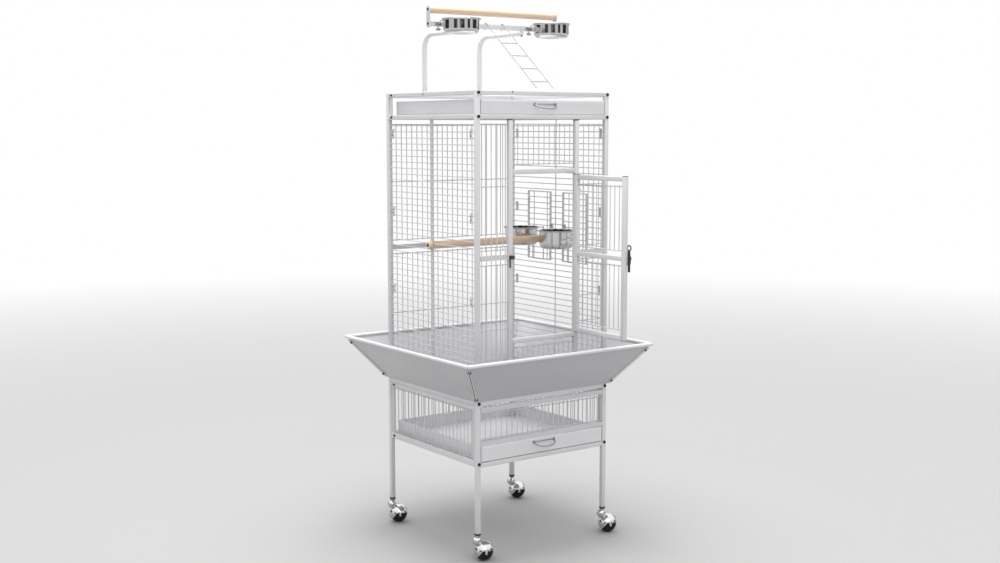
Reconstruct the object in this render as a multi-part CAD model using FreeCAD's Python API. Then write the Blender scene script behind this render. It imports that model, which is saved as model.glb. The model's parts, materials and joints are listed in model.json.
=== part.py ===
import FreeCAD, Part
import os
from math import cos, hypot, radians, sin

# A walk-up bird cage on a rolling stand with a play top. Millimetres, +Z up.
# The origin is on the floor under the middle of the cage. X runs along the front, where the
# door is, and +Y runs to the back. The front door is drawn shut and then swung to where it rests.

os.makedirs("parts", exist_ok=True)
Vec = FreeCAD.Vector
UP = Vec(0, 0, 1)

# ---- frame
frame_span = 514.0  # from post centre to post centre, along X and along Y
tube = 15.0  # side of the square tube
tube_wall = 1.2
leg_bottom = 88.0  # floor to the foot of the legs, filled by the casters
leg_clear = 212.0  # leg below the stand's bottom rails
stand_height = 197.0  # from there to where the cage body stands
stand_side_rail_height = 20.0
cage_height = 876.0  # between the base rails and the rails under the top tray
tray_bay = 58.0  # between those rails and the top rails
spigot_length = 40.0  # the leg's plug inside the post above it

# ---- wires
wire = 3.0
cross_wire = 3.4
weld = 0.3  # how deep two crossing wires sink into each other
bite = 0.05  # how deep a piece that only rests on round wires sinks into them
bar_pitch = 21.0  # upright bars in the front, the back and the door
side_pitch = 19.8  # level bars in the two side walls
end_gap = 16.0  # from a tube to the first wire of a mat
strip_width = 16.0  # flat strip up the middle of the left wall
strip_thickness = 3.0
clearance = 0.3  # between pieces that move past each other
fit = 0.05  # radial clearance of a pin in its eye

# ---- front door and its opening
door_opening = 250.0  # between the jambs
door_gap = 1.5  # beside the shut door
sill_height = 186.0  # top of the sill above the base rails
header_drop = 171.0  # underside of the header below the rails that carry the top tray
door_head_gap = 5.0  # above and below the shut door
mid_rail_height = 439.0  # above the base rails; shared by the door, the front and the back
low_ties = (221.0, 305.0)  # cross wires below the middle rail, above the base rails
high_tie_drop = 208.0  # the cross wire above it, below the rails that carry the top tray
hinge_out = 5.5  # hinge line in front of the face of the frame
hinge_side = 5.0  # hinge line past the inner face of the jamb
hinge_pin = 5.0
hinge_eye = 9.0
hinge_leaf = 3.0
hinge_inset = 60.0  # from the sill up to the low hinge, and from the header down to the high one
eye_height = 12.0
door_open_angle = 90.0

# ---- latch on the door
latch_plate_width = 28.0
latch_overhang = 9.0  # how far the plate laps over the jamb
latch_plate_height = 44.0
latch_plate = 3.0
latch_relief = 0.5  # between the lapping plate and the jamb
lever_length = 84.0
lever_width = 9.0
lever_thickness = 3.0
lever_gap = 0.8  # from the plate to the lever
lever_ring = 20.0
lever_ring_hole = 12.0
latch_pivot = 6.0
pivot_length = 8.0
pivot_head = 12.0
pivot_head_height = 3.0
keeper_reach = 15.0  # how far the keeper stands out from the jamb
keeper_sheet = 3.0
keeper_foot = 5.0
keeper_half = 6.0  # half the height of the keeper's hook

# ---- feeder doors in the right wall
feeder_offset = 97.5  # from the middle of the wall to the middle of an opening
feeder_width = 125.0
feeder_sill = 392.0  # above the base rails
feeder_height = 236.0
feeder_rod = 3.4
feeder_gap = 1.6  # between a shut feeder door and the frame wires behind it
feeder_wire_offset = 37.5
feeder_tab = (10.0, 7.0, 18.0)  # width, depth and height of the block that holds the door's catch

# ---- bowls and their rings
bowl_rim = 124.0
bowl_height = 47.0
deep_bowl_height = 62.0
bowl_wall = 1.0
bowl_lip = 5.0
ring_rod = 4.0
inner_bowl_gap = 15.0  # from the right wall in to a bowl's rim
bowl_hanger_offset = 30.0  # of the two rods that hook a bowl's ring on the wall
inner_bowl_rise = 116.0  # of a bowl's rim above the foot of its feeder door
play_bowl_rise = 22.0  # of a bowl's rim above the underside of the flat bar
play_bowl_gap = 18.0  # from the flat bar forward to a bowl's rim
play_bowl_shift = 38.0  # from the clamp sideways to the bowl's middle
play_clamp_insets = (36.0, 117.0)  # of the left and right clamps from the ends of the flat bar
clamp_jaw = (22.0, 5.0, 14.0)  # width, thickness and height
clamp_screw = 5.0
clamp_screw_length = 13.0  # below the jaw
clamp_wing = (18.0, 3.0, 8.0)

# ---- seed guard
guard_overhang = 109.5  # of the rim beyond the frame
guard_height = 142.0  # of the rim above the base rails
guard_sheet = 1.2
guard_rim = 12.0
guard_lap = 1.0  # how far the sheets start below the top of the base rails
guard_mitre = 1.0
guard_fin = 6.0  # how far the bolted corner fins stand out from each of the two sheets they join
guard_fin_thickness = 3.2
guard_fin_foot = 1.5  # from the foot of the sheets up to the fins

# ---- top tray, drawer and floor grate
tray_height = 45.0
drawer_height = 49.0
tray_sheet = 1.2
tray_side_gap = 2.5
drawer_gap = 2.0  # over the stand's bottom rails, and under the cross rail
tray_back_gap = 20.0
runner_sheet = 1.2
runner_width = 13.0
handle_rod = 4.0
handle_span = 82.0
handle_reach = 24.0
handle_drop = 14.0
handle_heights = (0.7, 0.75)  # of the handles' ends, as shares of the top tray and the drawer
grate_bar_height = 16.0
grate_bar_top = 7.5  # top of the front bar above the grate's runners
grate_bar_depth = 8.0
grate_cross_rod = 4.8
grate_slot = 8.0  # from the front wires' top cross wire up to the front bar
grate_rod = 6.0
grate_pitch = 20.0
grate_drop = 13.0  # from where the cage stands down to the grate's runners

# ---- play top
arm_tube = 16.0
arm_span = 228.0
arm_bend = 50.0
play_bar_y = 12.0
play_height = 207.0  # underside of the flat bar above the top rails
play_bar_height = 16.0
play_bar_thickness = 4.0
play_bar_overhang = 1.0  # of each end beyond the middle of the posts
bracket_rise = 67.0  # above the underside of the flat bar
bracket_lap = 4.0  # of the brackets below the flat bar
bracket_width = 20.0
bracket_sheet = 3.0
play_perch = 24.0
play_perch_rise = 53.0  # above the underside of the flat bar
ladder_width = 70.0
ladder_rod = 3.0
ladder_first_rung = 0.305  # share of the ladder's length
ladder_rung_step = 0.2
ladder_rungs = 4
ladder_rung_rod = 2.7
ladder_hook_turn = 200.0  # how far the hooks reach round the flat bar
ladder_hook_clearance = 0.6
inner_perch = 25.0
inner_perch_rise = 472.0  # above the base rails
inner_perch_gap = 49.0  # from the perch's free end to the right wall

# ---- casters
wheel = 60.0
wheel_half_width = 24.0
wheel_offset = 20.0  # wheel centre from the leg's axis
caster_turn = -20.0  # direction of that offset, from +X
hood_gap = 1.0
hood_sheet = 1.6
axle = 6.0
stem = 8.0
stem_length = 24.0
neck_width = 15.0
neck_foot = 8.0  # above the wheel's middle
washer_height = 3.0
washer_lip = 1.5
axle_hub = 10.0
hood_edge = 5.0  # of the hood's level edge above the wheel's middle
hood_tilt = 45.0  # how steeply the edge runs down on the stem's side
horn = 30.0  # rounded top of the hood about the stem
horn_back = 3.0  # of its middle behind the stem
horn_drop = 3.0  # of its top below the collar
collar = 21.0
collar_height = 6.0

# ---- fasteners
bolt = 6.0
bolt_hole = 6.4
bolt_head = 10.0
bolt_head_height = 4.0
side_bolt_head = 8.0
side_bolt_height = 3.2
bolt_length = 34.0
clip_drops = (46.0, 305.0, 566.0)  # of the wall clips below the rails under the tray
clip_width = 12.0
clip_height = 34.0
clip_sheet = 3.0
clip_inset = 20.5  # of their middles from the inner face of a post

# ---- worked out from the above
half = frame_span / 2
outer = half + tube / 2  # outer face of the frame
inner = half - tube / 2  # inner face of the frame
stand_floor = leg_bottom + leg_clear
stand_top = stand_floor + stand_height
base_top = stand_top + tube
tray_deck = base_top + cage_height
deck_top = tray_deck + tube
top_rail_bottom = deck_top + tray_bay
frame_top = top_rail_bottom + tube
side_rail_bottom = stand_floor + 2
stand_rail_bottom = stand_top - tube
drawer_floor = stand_floor + tube + drawer_gap
cross_rail_bottom = drawer_floor + clearance + drawer_height + drawer_gap
jamb_x = door_opening / 2 + tube / 2
sill_top = base_top + sill_height
header_bottom = tray_deck - header_drop
mid_rail_bottom = base_top + mid_rail_height
mid_rail_top = mid_rail_bottom + tube
feeder_bottom = base_top + feeder_sill
inner_bowl_x = half - inner_bowl_gap - bowl_rim / 2
inner_bowl_rim_z = feeder_bottom + inner_bowl_rise
guard_side = 2 * (outer + guard_overhang)
guard_rim_z = base_top + guard_height
grate_level = stand_top - grate_drop
play_bar_length = frame_span + 2 * play_bar_overhang
play_bar_bottom = frame_top + play_height
bracket_top = play_bar_bottom + bracket_rise
play_perch_z = play_bar_bottom + play_perch_rise
play_bowl_rim_z = play_bar_bottom + play_bowl_rise
inner_perch_z = base_top + inner_perch_rise
inner_perch_end = half - inner_perch_gap
hinge_x = door_opening / 2 + hinge_side
hinge_y = -(outer + hinge_out)
sides = {"front": 0, "right": 90, "back": 180, "left": -90}
corners = {
    "front_left": (-1, -1),
    "front_right": (1, -1),
    "back_left": (-1, 1),
    "back_right": (1, 1),
}


def save(node, shapes):
    """Write one node's solids to its STEP file."""
    if not isinstance(shapes, (list, tuple)):
        shapes = [shapes]
    solids = [solid for shape in shapes for solid in shape.Solids]
    body = solids[0] if len(solids) == 1 else Part.makeCompound(solids)
    body.exportStep("parts/" + node + ".step")


def block(x0, x1, y0, y1, z0, z1):
    """A box between two corners."""
    return Part.makeBox(x1 - x0, y1 - y0, z1 - z0, Vec(x0, y0, z0))


def rod(start, end, diameter):
    """A round rod from one point to another."""
    along = Vec(*end) - Vec(*start)
    return Part.makeCylinder(diameter / 2, along.Length, Vec(*start), along)


def joined(shapes):
    """One solid from pieces that are welded together."""
    return shapes[0].multiFuse(shapes[1:]) if len(shapes) > 1 else shapes[0]


def turned(shape, angle, centre=(0, 0, 0), axis=UP):
    """A copy of the shape turned about a line."""
    copy = shape.copy()
    copy.rotate(Vec(*centre), axis, angle)
    return copy


def on_side(shape, side):
    """Take a piece drawn for the front of the cage round to another side."""
    return turned(shape, sides[side])


def square_tube(x0, x1, y0, y1, z0, z1, along):
    """A hollow square tube with open ends, running along X, Y or Z."""
    grow = {"x": (1, 0, 0), "y": (0, 1, 0), "z": (0, 0, 1)}[along]
    edge = [tube_wall * (1 - g) - g for g in grow]
    hollow = block(
        x0 + edge[0], x1 - edge[0], y0 + edge[1], y1 - edge[1], z0 + edge[2], z1 - edge[2]
    )
    return block(x0, x1, y0, y1, z0, z1).cut(hollow)


def front_rail(z, x0=-inner, x1=inner, height=tube):
    """A level tube across the front, its underside at z."""
    return square_tube(x0, x1, -outer, -inner, z, z + height, "x")


def swept(edges, diameter):
    """A round rod bent along a row of edges."""
    path = Part.Wire(edges)
    start = edges[0].valueAt(edges[0].FirstParameter)
    tangent = edges[0].tangentAt(edges[0].FirstParameter)
    ring = Part.Wire([Part.Circle(start, tangent, diameter / 2).toShape()])
    return path.makePipeShell([ring], True, False)


def arc(a, b, c):
    """An arc through three points."""
    return Part.Arc(Vec(*a), Vec(*b), Vec(*c)).toShape()


def line(a, b):
    """A straight edge."""
    return Part.LineSegment(Vec(*a), Vec(*b)).toShape()


def spaced(start, end, pitch):
    """Even steps between two ends, close to the pitch, with the ends left out."""
    count = max(2, round((end - start) / pitch))
    return [start + (end - start) * i / count for i in range(1, count)]


def bar_mat(x0, x1, z0, z1, levels, y=-half, pitch=bar_pitch):
    """Upright bars welded in front of level cross wires that end on the tubes beside them."""
    pieces = [rod((x0, y, z), (x1, y, z), cross_wire) for z in levels]
    front = y - (wire + cross_wire) / 2 + weld
    for x in spaced(x0, x1, pitch):
        pieces.append(rod((x, front, z0), (x, front, z1), wire))
    return joined(pieces)


# ------------------------------------------------------------------ frame


def posts_and_legs():
    """Corner posts of the cage body, and the stand's legs with spigots that plug into them."""
    posts = []
    legs = []
    for sx, sy in corners.values():
        x = sx * half
        y = sy * half
        r = tube / 2
        core = r - tube_wall
        post = square_tube(x - r, x + r, y - r, y + r, stand_top, frame_top, "z")
        leg = square_tube(x - r, x + r, y - r, y + r, leg_bottom, stand_top, "z")
        spigot_top = stand_top + spigot_length
        spigot_foot = stand_top - spigot_length
        spigot = block(x - core, x + core, y - core, y + core, spigot_foot, spigot_top)
        leg = leg.fuse(spigot)
        for z in bolt_levels():
            hole = rod((x, y - tube, z), (x, y + tube, z), bolt_hole)
            if z > stand_top:
                post = post.cut(hole)
            if z < spigot_top:
                leg = leg.cut(hole)
        posts.append(post)
        legs.append(leg)
    save("corner_posts", posts)
    save("legs", legs)


def bolt_levels():
    """Heights of the bolts that hold the side rails' ends to the posts."""
    return (
        side_rail_bottom + stand_side_rail_height / 2,
        stand_top + tube / 2,
        tray_deck + tube / 2,
        frame_top - tube / 2,
    )


def rails():
    """The level tubes between the posts."""
    top = [on_side(front_rail(top_rail_bottom), side) for side in sides]
    deck = [on_side(front_rail(tray_deck), side) for side in sides]
    base = [on_side(front_rail(stand_top), side) for side in sides]
    stand = [on_side(front_rail(stand_floor), side) for side in ("front", "back")]
    for side in ("left", "right"):
        stand.append(on_side(front_rail(side_rail_bottom, height=stand_side_rail_height), side))
    stand += [on_side(front_rail(stand_rail_bottom), side) for side in ("left", "right", "back")]
    save("top_rails", top)
    save("cage_rails", deck + base)
    save("stand_rails", stand)


def fasteners():
    """Black bolts through the posts, and the small bolts near the back of each side."""
    bolts = []
    for sx, sy in corners.values():
        for z in bolt_levels():
            face = sy * outer
            head = rod((sx * half, face, z), (sx * half, face + sy * bolt_head_height, z), bolt_head)
            shank = rod((sx * half, face, z), (sx * half, face - sy * bolt_length, z), bolt)
            bolts.append(head.fuse(shank))
    for sx in (-1, 1):
        for z in side_bolt_levels():
            end = sx * (outer + side_bolt_height)
            bolts.append(rod((sx * outer, stop_y(), z), (end, stop_y(), z), side_bolt_head))
    save("frame_bolts", bolts)


def stop_y():
    """Where the tray stops and the small side bolts stand."""
    return inner - tray_back_gap


def side_bolt_levels():
    """Heights of the small bolts on the side rails near the back."""
    return (
        side_rail_bottom + stand_side_rail_height / 2,
        stand_rail_bottom + tube / 2,
        tray_deck + tube / 2,
        frame_top - tube / 2,
    )


def wall_clips():
    """Flat clips on the level bars of each side wall, three beside every post."""
    clips = []
    back = -half - wire / 2 + bite
    middle = inner - clip_inset
    for side in ("left", "right"):
        for x in (-middle, middle):
            for z in (tray_deck - drop for drop in clip_drops):
                at = back - clip_sheet / 2
                clips.append(on_side(centred((clip_width, clip_sheet, clip_height), x, at, z), side))
    save("wall_clips", clips)


# ------------------------------------------------------------------ walls


def side_wires(openings):
    """Level bars of a side wall, broken at each opening, on a strip or a wire up the middle."""
    pieces = []
    for z in spaced(base_top, tray_deck, side_pitch):
        breaks = [o for o in openings if o[2] <= z <= o[3]]
        edges = [-inner] + sorted(e for o in breaks for e in o[:2]) + [inner]
        for start, end in zip(edges[0::2], edges[1::2]):
            pieces.append(rod((start, -half, z), (end, -half, z), wire))
    if openings:
        behind = -half + (wire + cross_wire) / 2 - weld
        upright = rod((0, behind, base_top), (0, behind, tray_deck), cross_wire)
    else:
        reach = strip_width / 2
        back = -half + wire / 2 - weld
        upright = block(-reach, reach, back, back + strip_thickness, base_top, tray_deck)
    pieces.append(upright)
    for x0, x1, z0, z1 in openings:
        r = feeder_rod / 2
        for x in (x0, x1):
            pieces.append(rod((x, -half, z0 - r), (x, -half, z1 + r), feeder_rod))
        for z in (z0, z1):
            pieces.append(rod((x0, -half, z), (x1, -half, z), feeder_rod))
    return pieces


def feeder_openings():
    """The two openings in the right wall: left, right, bottom and top."""
    top = feeder_bottom + feeder_height
    reach = feeder_width / 2
    return [
        (m - reach, m + reach, feeder_bottom, top) for m in (-feeder_offset, feeder_offset)
    ]


def feeder_y():
    """Where a shut feeder door's wires lie, just outside the wall."""
    return -half - feeder_rod - feeder_gap


def feeder_eye_levels():
    """Heights of a feeder door's two hinge eyes."""
    step = feeder_height / 12
    return (feeder_bottom + step * 1.5, feeder_bottom + step * 10.5)


def feeder_hinge_x(x0, x1):
    """A feeder door turns on its edge that is farther from the middle of the wall."""
    return x0 if abs(x0) > abs(x1) else x1


def walls():
    """The left, right and back walls and the wires under the tray."""
    save("left_wall_grille", on_side(joined(side_wires([])), "left"))

    pieces = side_wires(feeder_openings())
    bores = []
    for x0, x1, _, _ in feeder_openings():
        x = feeder_hinge_x(x0, x1)
        for z in feeder_eye_levels():
            base = Vec(x, feeder_y(), z - 3)
            pieces.append(Part.makeCylinder(feeder_rod / 2 + 2, 6, base))
            bores.append(Part.makeCylinder(feeder_rod / 2 + fit, 8, base - UP))
    right = joined(pieces).cut(bores)
    save("right_wall_grille", on_side(right, "right"))

    mid = front_rail(mid_rail_bottom)
    low = [base_top + end_gap, base_top + low_ties[0], mid_rail_bottom - end_gap]
    high = [mid_rail_top + end_gap, tray_deck - high_tie_drop, tray_deck - end_gap]
    lower = bar_mat(-inner, inner, low[0] - 3, low[-1] + 3, low)
    upper = bar_mat(-inner, inner, high[0] - 3, high[-1] + 3, high)
    save("back_wall_grille", [on_side(piece, "back") for piece in (mid, lower, upper)])

    level = tray_deck + tube / 3
    pieces = []
    for y in spaced(-inner, inner, bar_pitch):
        pieces.append(rod((-inner, y, level), (inner, y, level), wire))
    under = level - (wire + cross_wire) / 2 + weld
    for x in (-inner / 3, inner / 3):
        pieces.append(rod((x, -inner, under), (x, inner, under), cross_wire))
    save("ceiling_grille", joined(pieces))


def front_wall():
    """Jambs, header and sill round the door, and the fixed mats about them."""
    jambs = []
    for sx in (-1, 1):
        x0 = sx * jamb_x - tube / 2
        jambs.append(square_tube(x0, x0 + tube, -outer, -inner, base_top, tray_deck, "z"))
    save("door_jambs", jambs)
    reach = door_opening / 2
    header = front_rail(header_bottom, -reach, reach)
    sill = front_rail(sill_top - tube, -reach, reach)
    save("door_cross_rails", [header, sill])

    for name, sx in (("left", -1), ("right", 1)):
        x0 = -inner if sx < 0 else jamb_x + tube / 2
        x1 = x0 + inner - jamb_x - tube / 2
        mid = front_rail(mid_rail_bottom, x0, x1)
        ties = [base_top + tie for tie in low_ties]
        low = [base_top + end_gap] + ties + [mid_rail_bottom - end_gap]
        high = [mid_rail_top + end_gap, tray_deck - high_tie_drop, tray_deck - end_gap]
        lower = bar_mat(x0, x1, low[0] - 3, low[-1] + 3, low)
        upper = bar_mat(x0, x1, high[0] - 3, high[-1] + 3, high)
        save("front_grille_" + name, [mid, lower, upper])

    high = [header_bottom + tube + end_gap, tray_deck - end_gap]
    save("front_grille_top", bar_mat(-reach, reach, high[0] - 3, high[-1] + 3, high))
    low = [base_top + end_gap, sill_top - tube - end_gap]
    save("front_grille_bottom", bar_mat(-reach, reach, low[0] - 3, low[-1] + 3, low))


# ------------------------------------------------------------------ doors


def front_door():
    """The door of square tube and bars, with hinge eyes, swung open to where it rests."""
    x1 = door_opening / 2 - door_gap
    x0 = -x1
    z0 = sill_top + door_head_gap
    z1 = header_bottom - door_head_gap
    tops = [z0 + tube, mid_rail_top, z1]
    outside = [block(x, x + tube, -outer, -inner, z0, z1) for x in (x0, x1 - tube)]
    outside += [block(x0, x1, -outer, -inner, z - tube, z) for z in tops]
    w = tube_wall
    inside = []
    for x in (x0, x1 - tube):
        inside.append(block(x + w, x + tube - w, -outer + w, -inner - w, z0 - 1, z1 + 1))
    for z in tops:
        inside.append(block(x0 + w, x1 - w, -outer + w, -inner - w, z - tube + w, z - w))
    frame = joined(outside).cut(joined(inside))

    mats = []
    for low, high in ((tops[0], mid_rail_bottom), (tops[1], tops[2] - tube)):
        levels = [low + end_gap, high - end_gap]
        mats.append(bar_mat(x0 + tube, x1 - tube, levels[0] - 3, levels[1] + 3, levels))

    eyes = []
    bores = []
    for z in hinge_levels():
        base = Vec(hinge_x, hinge_y, z)
        face = -outer - latch_relief
        leaf = block(x1 - tube + 1, hinge_x, face - hinge_leaf, face, z, z + eye_height)
        pad = block(x1 - tube + 1, x1 - 1, face - latch_relief, -outer, z, z + eye_height)
        eyes += [Part.makeCylinder(hinge_eye / 2, eye_height, base), leaf, pad]
        bores.append(Part.makeCylinder(hinge_pin / 2 + fit, eye_height + 2, base - UP))
    leaves = joined(eyes).cut(bores)
    door = [frame, leaves] + mats
    save("front_door", [open_door(piece) for piece in door])

    pins = []
    for z in hinge_levels():
        foot = z - clearance - eye_height
        base = Vec(hinge_x, hinge_y, foot)
        pin = Part.makeCylinder(hinge_pin / 2, eye_height * 2 + 4, base)
        knuckle = Part.makeCylinder(hinge_eye / 2, eye_height, base)
        face = -outer - hinge_leaf
        leaf = block(hinge_x, jamb_x + tube / 2, face, -outer, foot, foot + eye_height)
        pins.append(joined([knuckle, leaf, pin]))
    save("door_hinge_pins", pins)


def hinge_levels():
    """Undersides of the door's hinge eyes."""
    middle = mid_rail_bottom + (tube - eye_height) / 2
    return (sill_top + hinge_inset, middle, header_bottom - hinge_inset)


def open_door(shape):
    """Swing a piece drawn on the shut door to where the door rests."""
    return turned(shape, door_open_angle, (hinge_x, hinge_y, 0))


def latch_middle():
    """Where the latch's lever turns on the shut door: x on the door's free edge, and z."""
    return -door_opening / 2 + door_gap, mid_rail_bottom + tube / 2


def door_latch():
    """The latch's back plate and turning lever on the door."""
    edge, middle = latch_middle()
    z0 = middle - latch_plate_height / 2
    z1 = middle + latch_plate_height / 2
    x0 = edge - latch_overhang
    x1 = x0 + latch_plate_width
    back = -outer - latch_relief
    face = -outer - latch_plate
    head = face - pivot_length
    plate = block(x0, x1, face, back, z0, z1)
    pad = block(edge + 1, x1, back, -outer, z0, z1)
    pivot = rod((edge, face, middle), (edge, head, middle), latch_pivot)
    cap = rod((edge, head + pivot_head_height, middle), (edge, head, middle), pivot_head)
    save("latch_plate", open_door(joined([plate, pad, pivot, cap])))

    y1 = face - lever_gap
    y0 = y1 - lever_thickness
    foot = middle - lever_length / 2
    top = middle + (lever_length - lever_ring) / 2 + 1
    bar = block(edge - lever_width / 2, edge + lever_width / 2, y0, y1, foot, top)
    ring_plate = rod((edge, y0, top), (edge, y1, top), lever_ring)
    block_side = latch_plate_width / 4
    knob = block(edge - block_side, edge + block_side, y0, y1, middle - 16, middle + 10)
    lever = joined([bar, ring_plate, knob])
    lever = lever.cut(rod((edge, y0 - 1, top), (edge, y1 + 1, top), lever_ring_hole))
    bore = rod((edge, y0 - 1, middle), (edge, y1 + 1, middle), latch_pivot + 2 * fit)
    save("latch_lever", open_door(lever.cut(bore)))


def latch_keeper():
    """The hook on the left jamb that the shut latch's lever turns behind."""
    _, middle = latch_middle()
    x = -jamb_x - tube / 2
    face = -outer
    tip = face - keeper_reach
    low = middle - keeper_half
    high = middle + keeper_half
    foot = block(x, x + keeper_foot, tip + keeper_sheet, face, low, high)
    hook = block(x, x + tube - 3.5, tip, tip + keeper_sheet, low, high)
    tail = block(x, x + keeper_foot, face - keeper_sheet, face, low - latch_plate_width, low)
    save("latch_keeper", joined([foot, hook, tail]))


def feeder_doors():
    """Two small wire doors outside the right wall, one to each bowl."""
    r = feeder_rod / 2
    y = feeder_y()
    for x0, x1, z0, z1 in feeder_openings():
        pieces = [rod((x, y, z0 - r), (x, y, z1 + r), feeder_rod) for x in (x0, x1)]
        pieces += [rod((x0, y, z), (x1, y, z), feeder_rod) for z in (z0, z1)]
        pieces += [rod((x0, y, z), (x1, y, z), wire) for z in spaced(z0, z1, side_pitch)]
        middle = (x0 + x1) / 2
        front = y - wire + weld
        for x in (middle - feeder_wire_offset, middle + feeder_wire_offset):
            pieces.append(rod((x, front, z0), (x, front, z1), wire))
        free = x0 + x1 - feeder_hinge_x(x0, x1)
        half_way = (z0 + z1) / 2
        wide, deep, tall = feeder_tab
        tab = block(-wide / 2, wide / 2, -deep, 0, -tall / 2, tall / 2)
        pieces.append(tab.translated(Vec(free, y, half_way)))
        side = "front" if middle < 0 else "back"
        save("feeder_door_" + side, on_side(joined(pieces), "right"))


# ------------------------------------------------------------------ seed guard


def frustum(bottom, top, z0, z1):
    """A square pyramid cut off level, from half its bottom side to half its top side."""
    rings = []
    for reach, z in ((bottom, z0), (top, z1)):
        points = [(-reach, -reach), (reach, -reach), (reach, reach), (-reach, reach)]
        square = [Vec(x, y, z) for x, y in points]
        rings.append(Part.makePolygon(square + square[:1]))
    return Part.makeLoft(rings, True, True)


def seed_guard():
    """Four sloped sheets with rolled rims, and the upright fins that join them at the corners."""
    z0 = base_top - guard_lap
    z1 = guard_rim_z - guard_rim / 2
    bottom = outer
    top = guard_side / 2 - guard_rim / 2
    slope = hypot(top - bottom, z1 - z0) / (z1 - z0)
    sheet = guard_sheet * slope
    shell = frustum(bottom + sheet, top + sheet, z0, z1).cut(frustum(bottom, top, z0, z1))
    reach = guard_side
    for side in sides:
        middle = Vec(0, -guard_mitre, 0)
        left = Vec(-reach, -guard_mitre - reach, 0)
        right = Vec(reach, -guard_mitre - reach, 0)
        triangle = Part.Face(Part.makePolygon([middle, left, right, middle]))
        wedge = triangle.extrude(Vec(0, 0, frame_top))
        panel = on_side(shell, side).common(on_side(wedge, side))
        edge = rod((-reach, -top, z1), (reach, -top, z1), guard_rim)
        rim = on_side(edge.common(wedge), side)
        save("seed_guard_" + side, panel.fuse(rim))

    fin_top = z1 - guard_rim
    fin_foot = z0 + guard_fin_foot
    run = (top - bottom) / (z1 - z0)
    lift = [bottom + sheet + run * (z - z0) for z in (fin_foot, fin_top)]
    outside = frustum(lift[0] + guard_fin, lift[1] + guard_fin, fin_foot, fin_top)
    fin_zone = outside.cut(frustum(lift[0], lift[1], fin_foot, fin_top))
    fins = []
    for angle in (45, 135, 225, 315):
        across = guard_fin_thickness / 2
        band = block(0, reach * 2, -across, across, z0, z1)
        fins.append(fin_zone.common(turned(band, angle)))
    save("seed_guard_corners", fins)


# ------------------------------------------------------------------ trays


def open_tray(z0, height, back):
    """A sheet-metal tray, open at the top, its front flush with the frame."""
    x = inner - tray_side_gap
    outside = block(-x, x, -outer, back, z0, z0 + height)
    s = tray_sheet
    return outside.cut(block(-x + s, x - s, -outer + s, back - s, z0 + s, z0 + height + 1))


def pull_handle(z):
    """A bent wire handle on a tray's front, its ends at height z."""
    reach = handle_span / 2
    y = -outer
    bow = arc((-reach, y, z), (0, y - handle_reach, z - handle_drop), (reach, y, z))
    handle = swept([bow], handle_rod)
    return handle.common(block(-reach * 2, reach * 2, y - 100, y, z - 100, z + 100))


def trays():
    """The top tray, the drawer under the floor grate, their handles and the runners."""
    back = stop_y() - 1.0
    tray_z = deck_top + clearance
    save("top_tray", open_tray(tray_z, tray_height, back))
    save("top_tray_handle", pull_handle(tray_z + tray_height * handle_heights[0]))
    drawer_z = drawer_floor + clearance
    save("drawer", open_tray(drawer_z, drawer_height, back))
    save("drawer_handle", pull_handle(drawer_z + drawer_height * handle_heights[1]))

    runners = []
    for sx in (-1, 1):
        x0, x1 = sorted((sx * inner, sx * (inner - runner_width)))
        for z in (deck_top, drawer_floor, grate_level):
            runners.append(block(x0, x1, -inner, inner, z - runner_sheet, z))
        face = sx * outer
        a, b = sorted((face, face - sx * 2))
        runners.append(block(a, b, stop_y() - 6, stop_y() + 6, deck_top, top_rail_bottom))
    save("runners_and_stops", runners)


def floor_grate():
    """A slide-out grate: front bar, rod frame and bars that run to the back."""
    z = grate_level + clearance + grate_rod / 2
    x = inner - tray_side_gap - grate_rod / 2
    back = stop_y()
    top = grate_level + grate_bar_top
    bar_x = inner - 1.0
    bar = block(-bar_x, bar_x, -outer, -outer + grate_bar_depth, top - grate_bar_height, top)
    front = -outer + grate_bar_depth - 2
    pieces = [bar]
    pieces += [rod((sx * x, front, z), (sx * x, back, z), grate_rod) for sx in (-1, 1)]
    for y in (-inner + 40, -inner / 3, inner / 3, back):
        pieces.append(rod((-x, y, z), (x, y, z), grate_cross_rod))
    over = z + (grate_cross_rod + wire) / 2 - weld
    for bar_at in spaced(-x, x, grate_pitch):
        pieces.append(rod((bar_at, front, over), (bar_at, back + 2, over), wire))
    save("floor_grate", joined(pieces))


def stand_grilles():
    """Upright wires round the stand, welded to cross wires between its legs."""
    z0 = side_rail_bottom + stand_side_rail_height
    z1 = stand_rail_bottom
    for side in ("left", "right"):
        mat = bar_mat(-inner, inner, z0, z1, [z0 + 5, z1 - 5])
        stiles = [
            block(x, x + tube, -half - 4, -half + 2, z0, z1) for x in (-inner, inner - tube)
        ]
        save("stand_grille_" + side, on_side(joined([mat] + stiles), side))
    z0 = stand_floor + tube
    save("stand_grille_back", on_side(bar_mat(-inner, inner, z0, z1, [z0 + 5, z1 - 5]), "back"))

    cross = front_rail(cross_rail_bottom)
    foot = cross_rail_bottom + tube
    head = grate_level + grate_bar_top - grate_bar_height - grate_slot
    levels = [foot + 5, head]
    mat = bar_mat(-inner, inner, levels[0] - 3, levels[1] + 3, levels)
    save("stand_grille_front", [cross, mat])


# ------------------------------------------------------------------ play top and fittings


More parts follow.
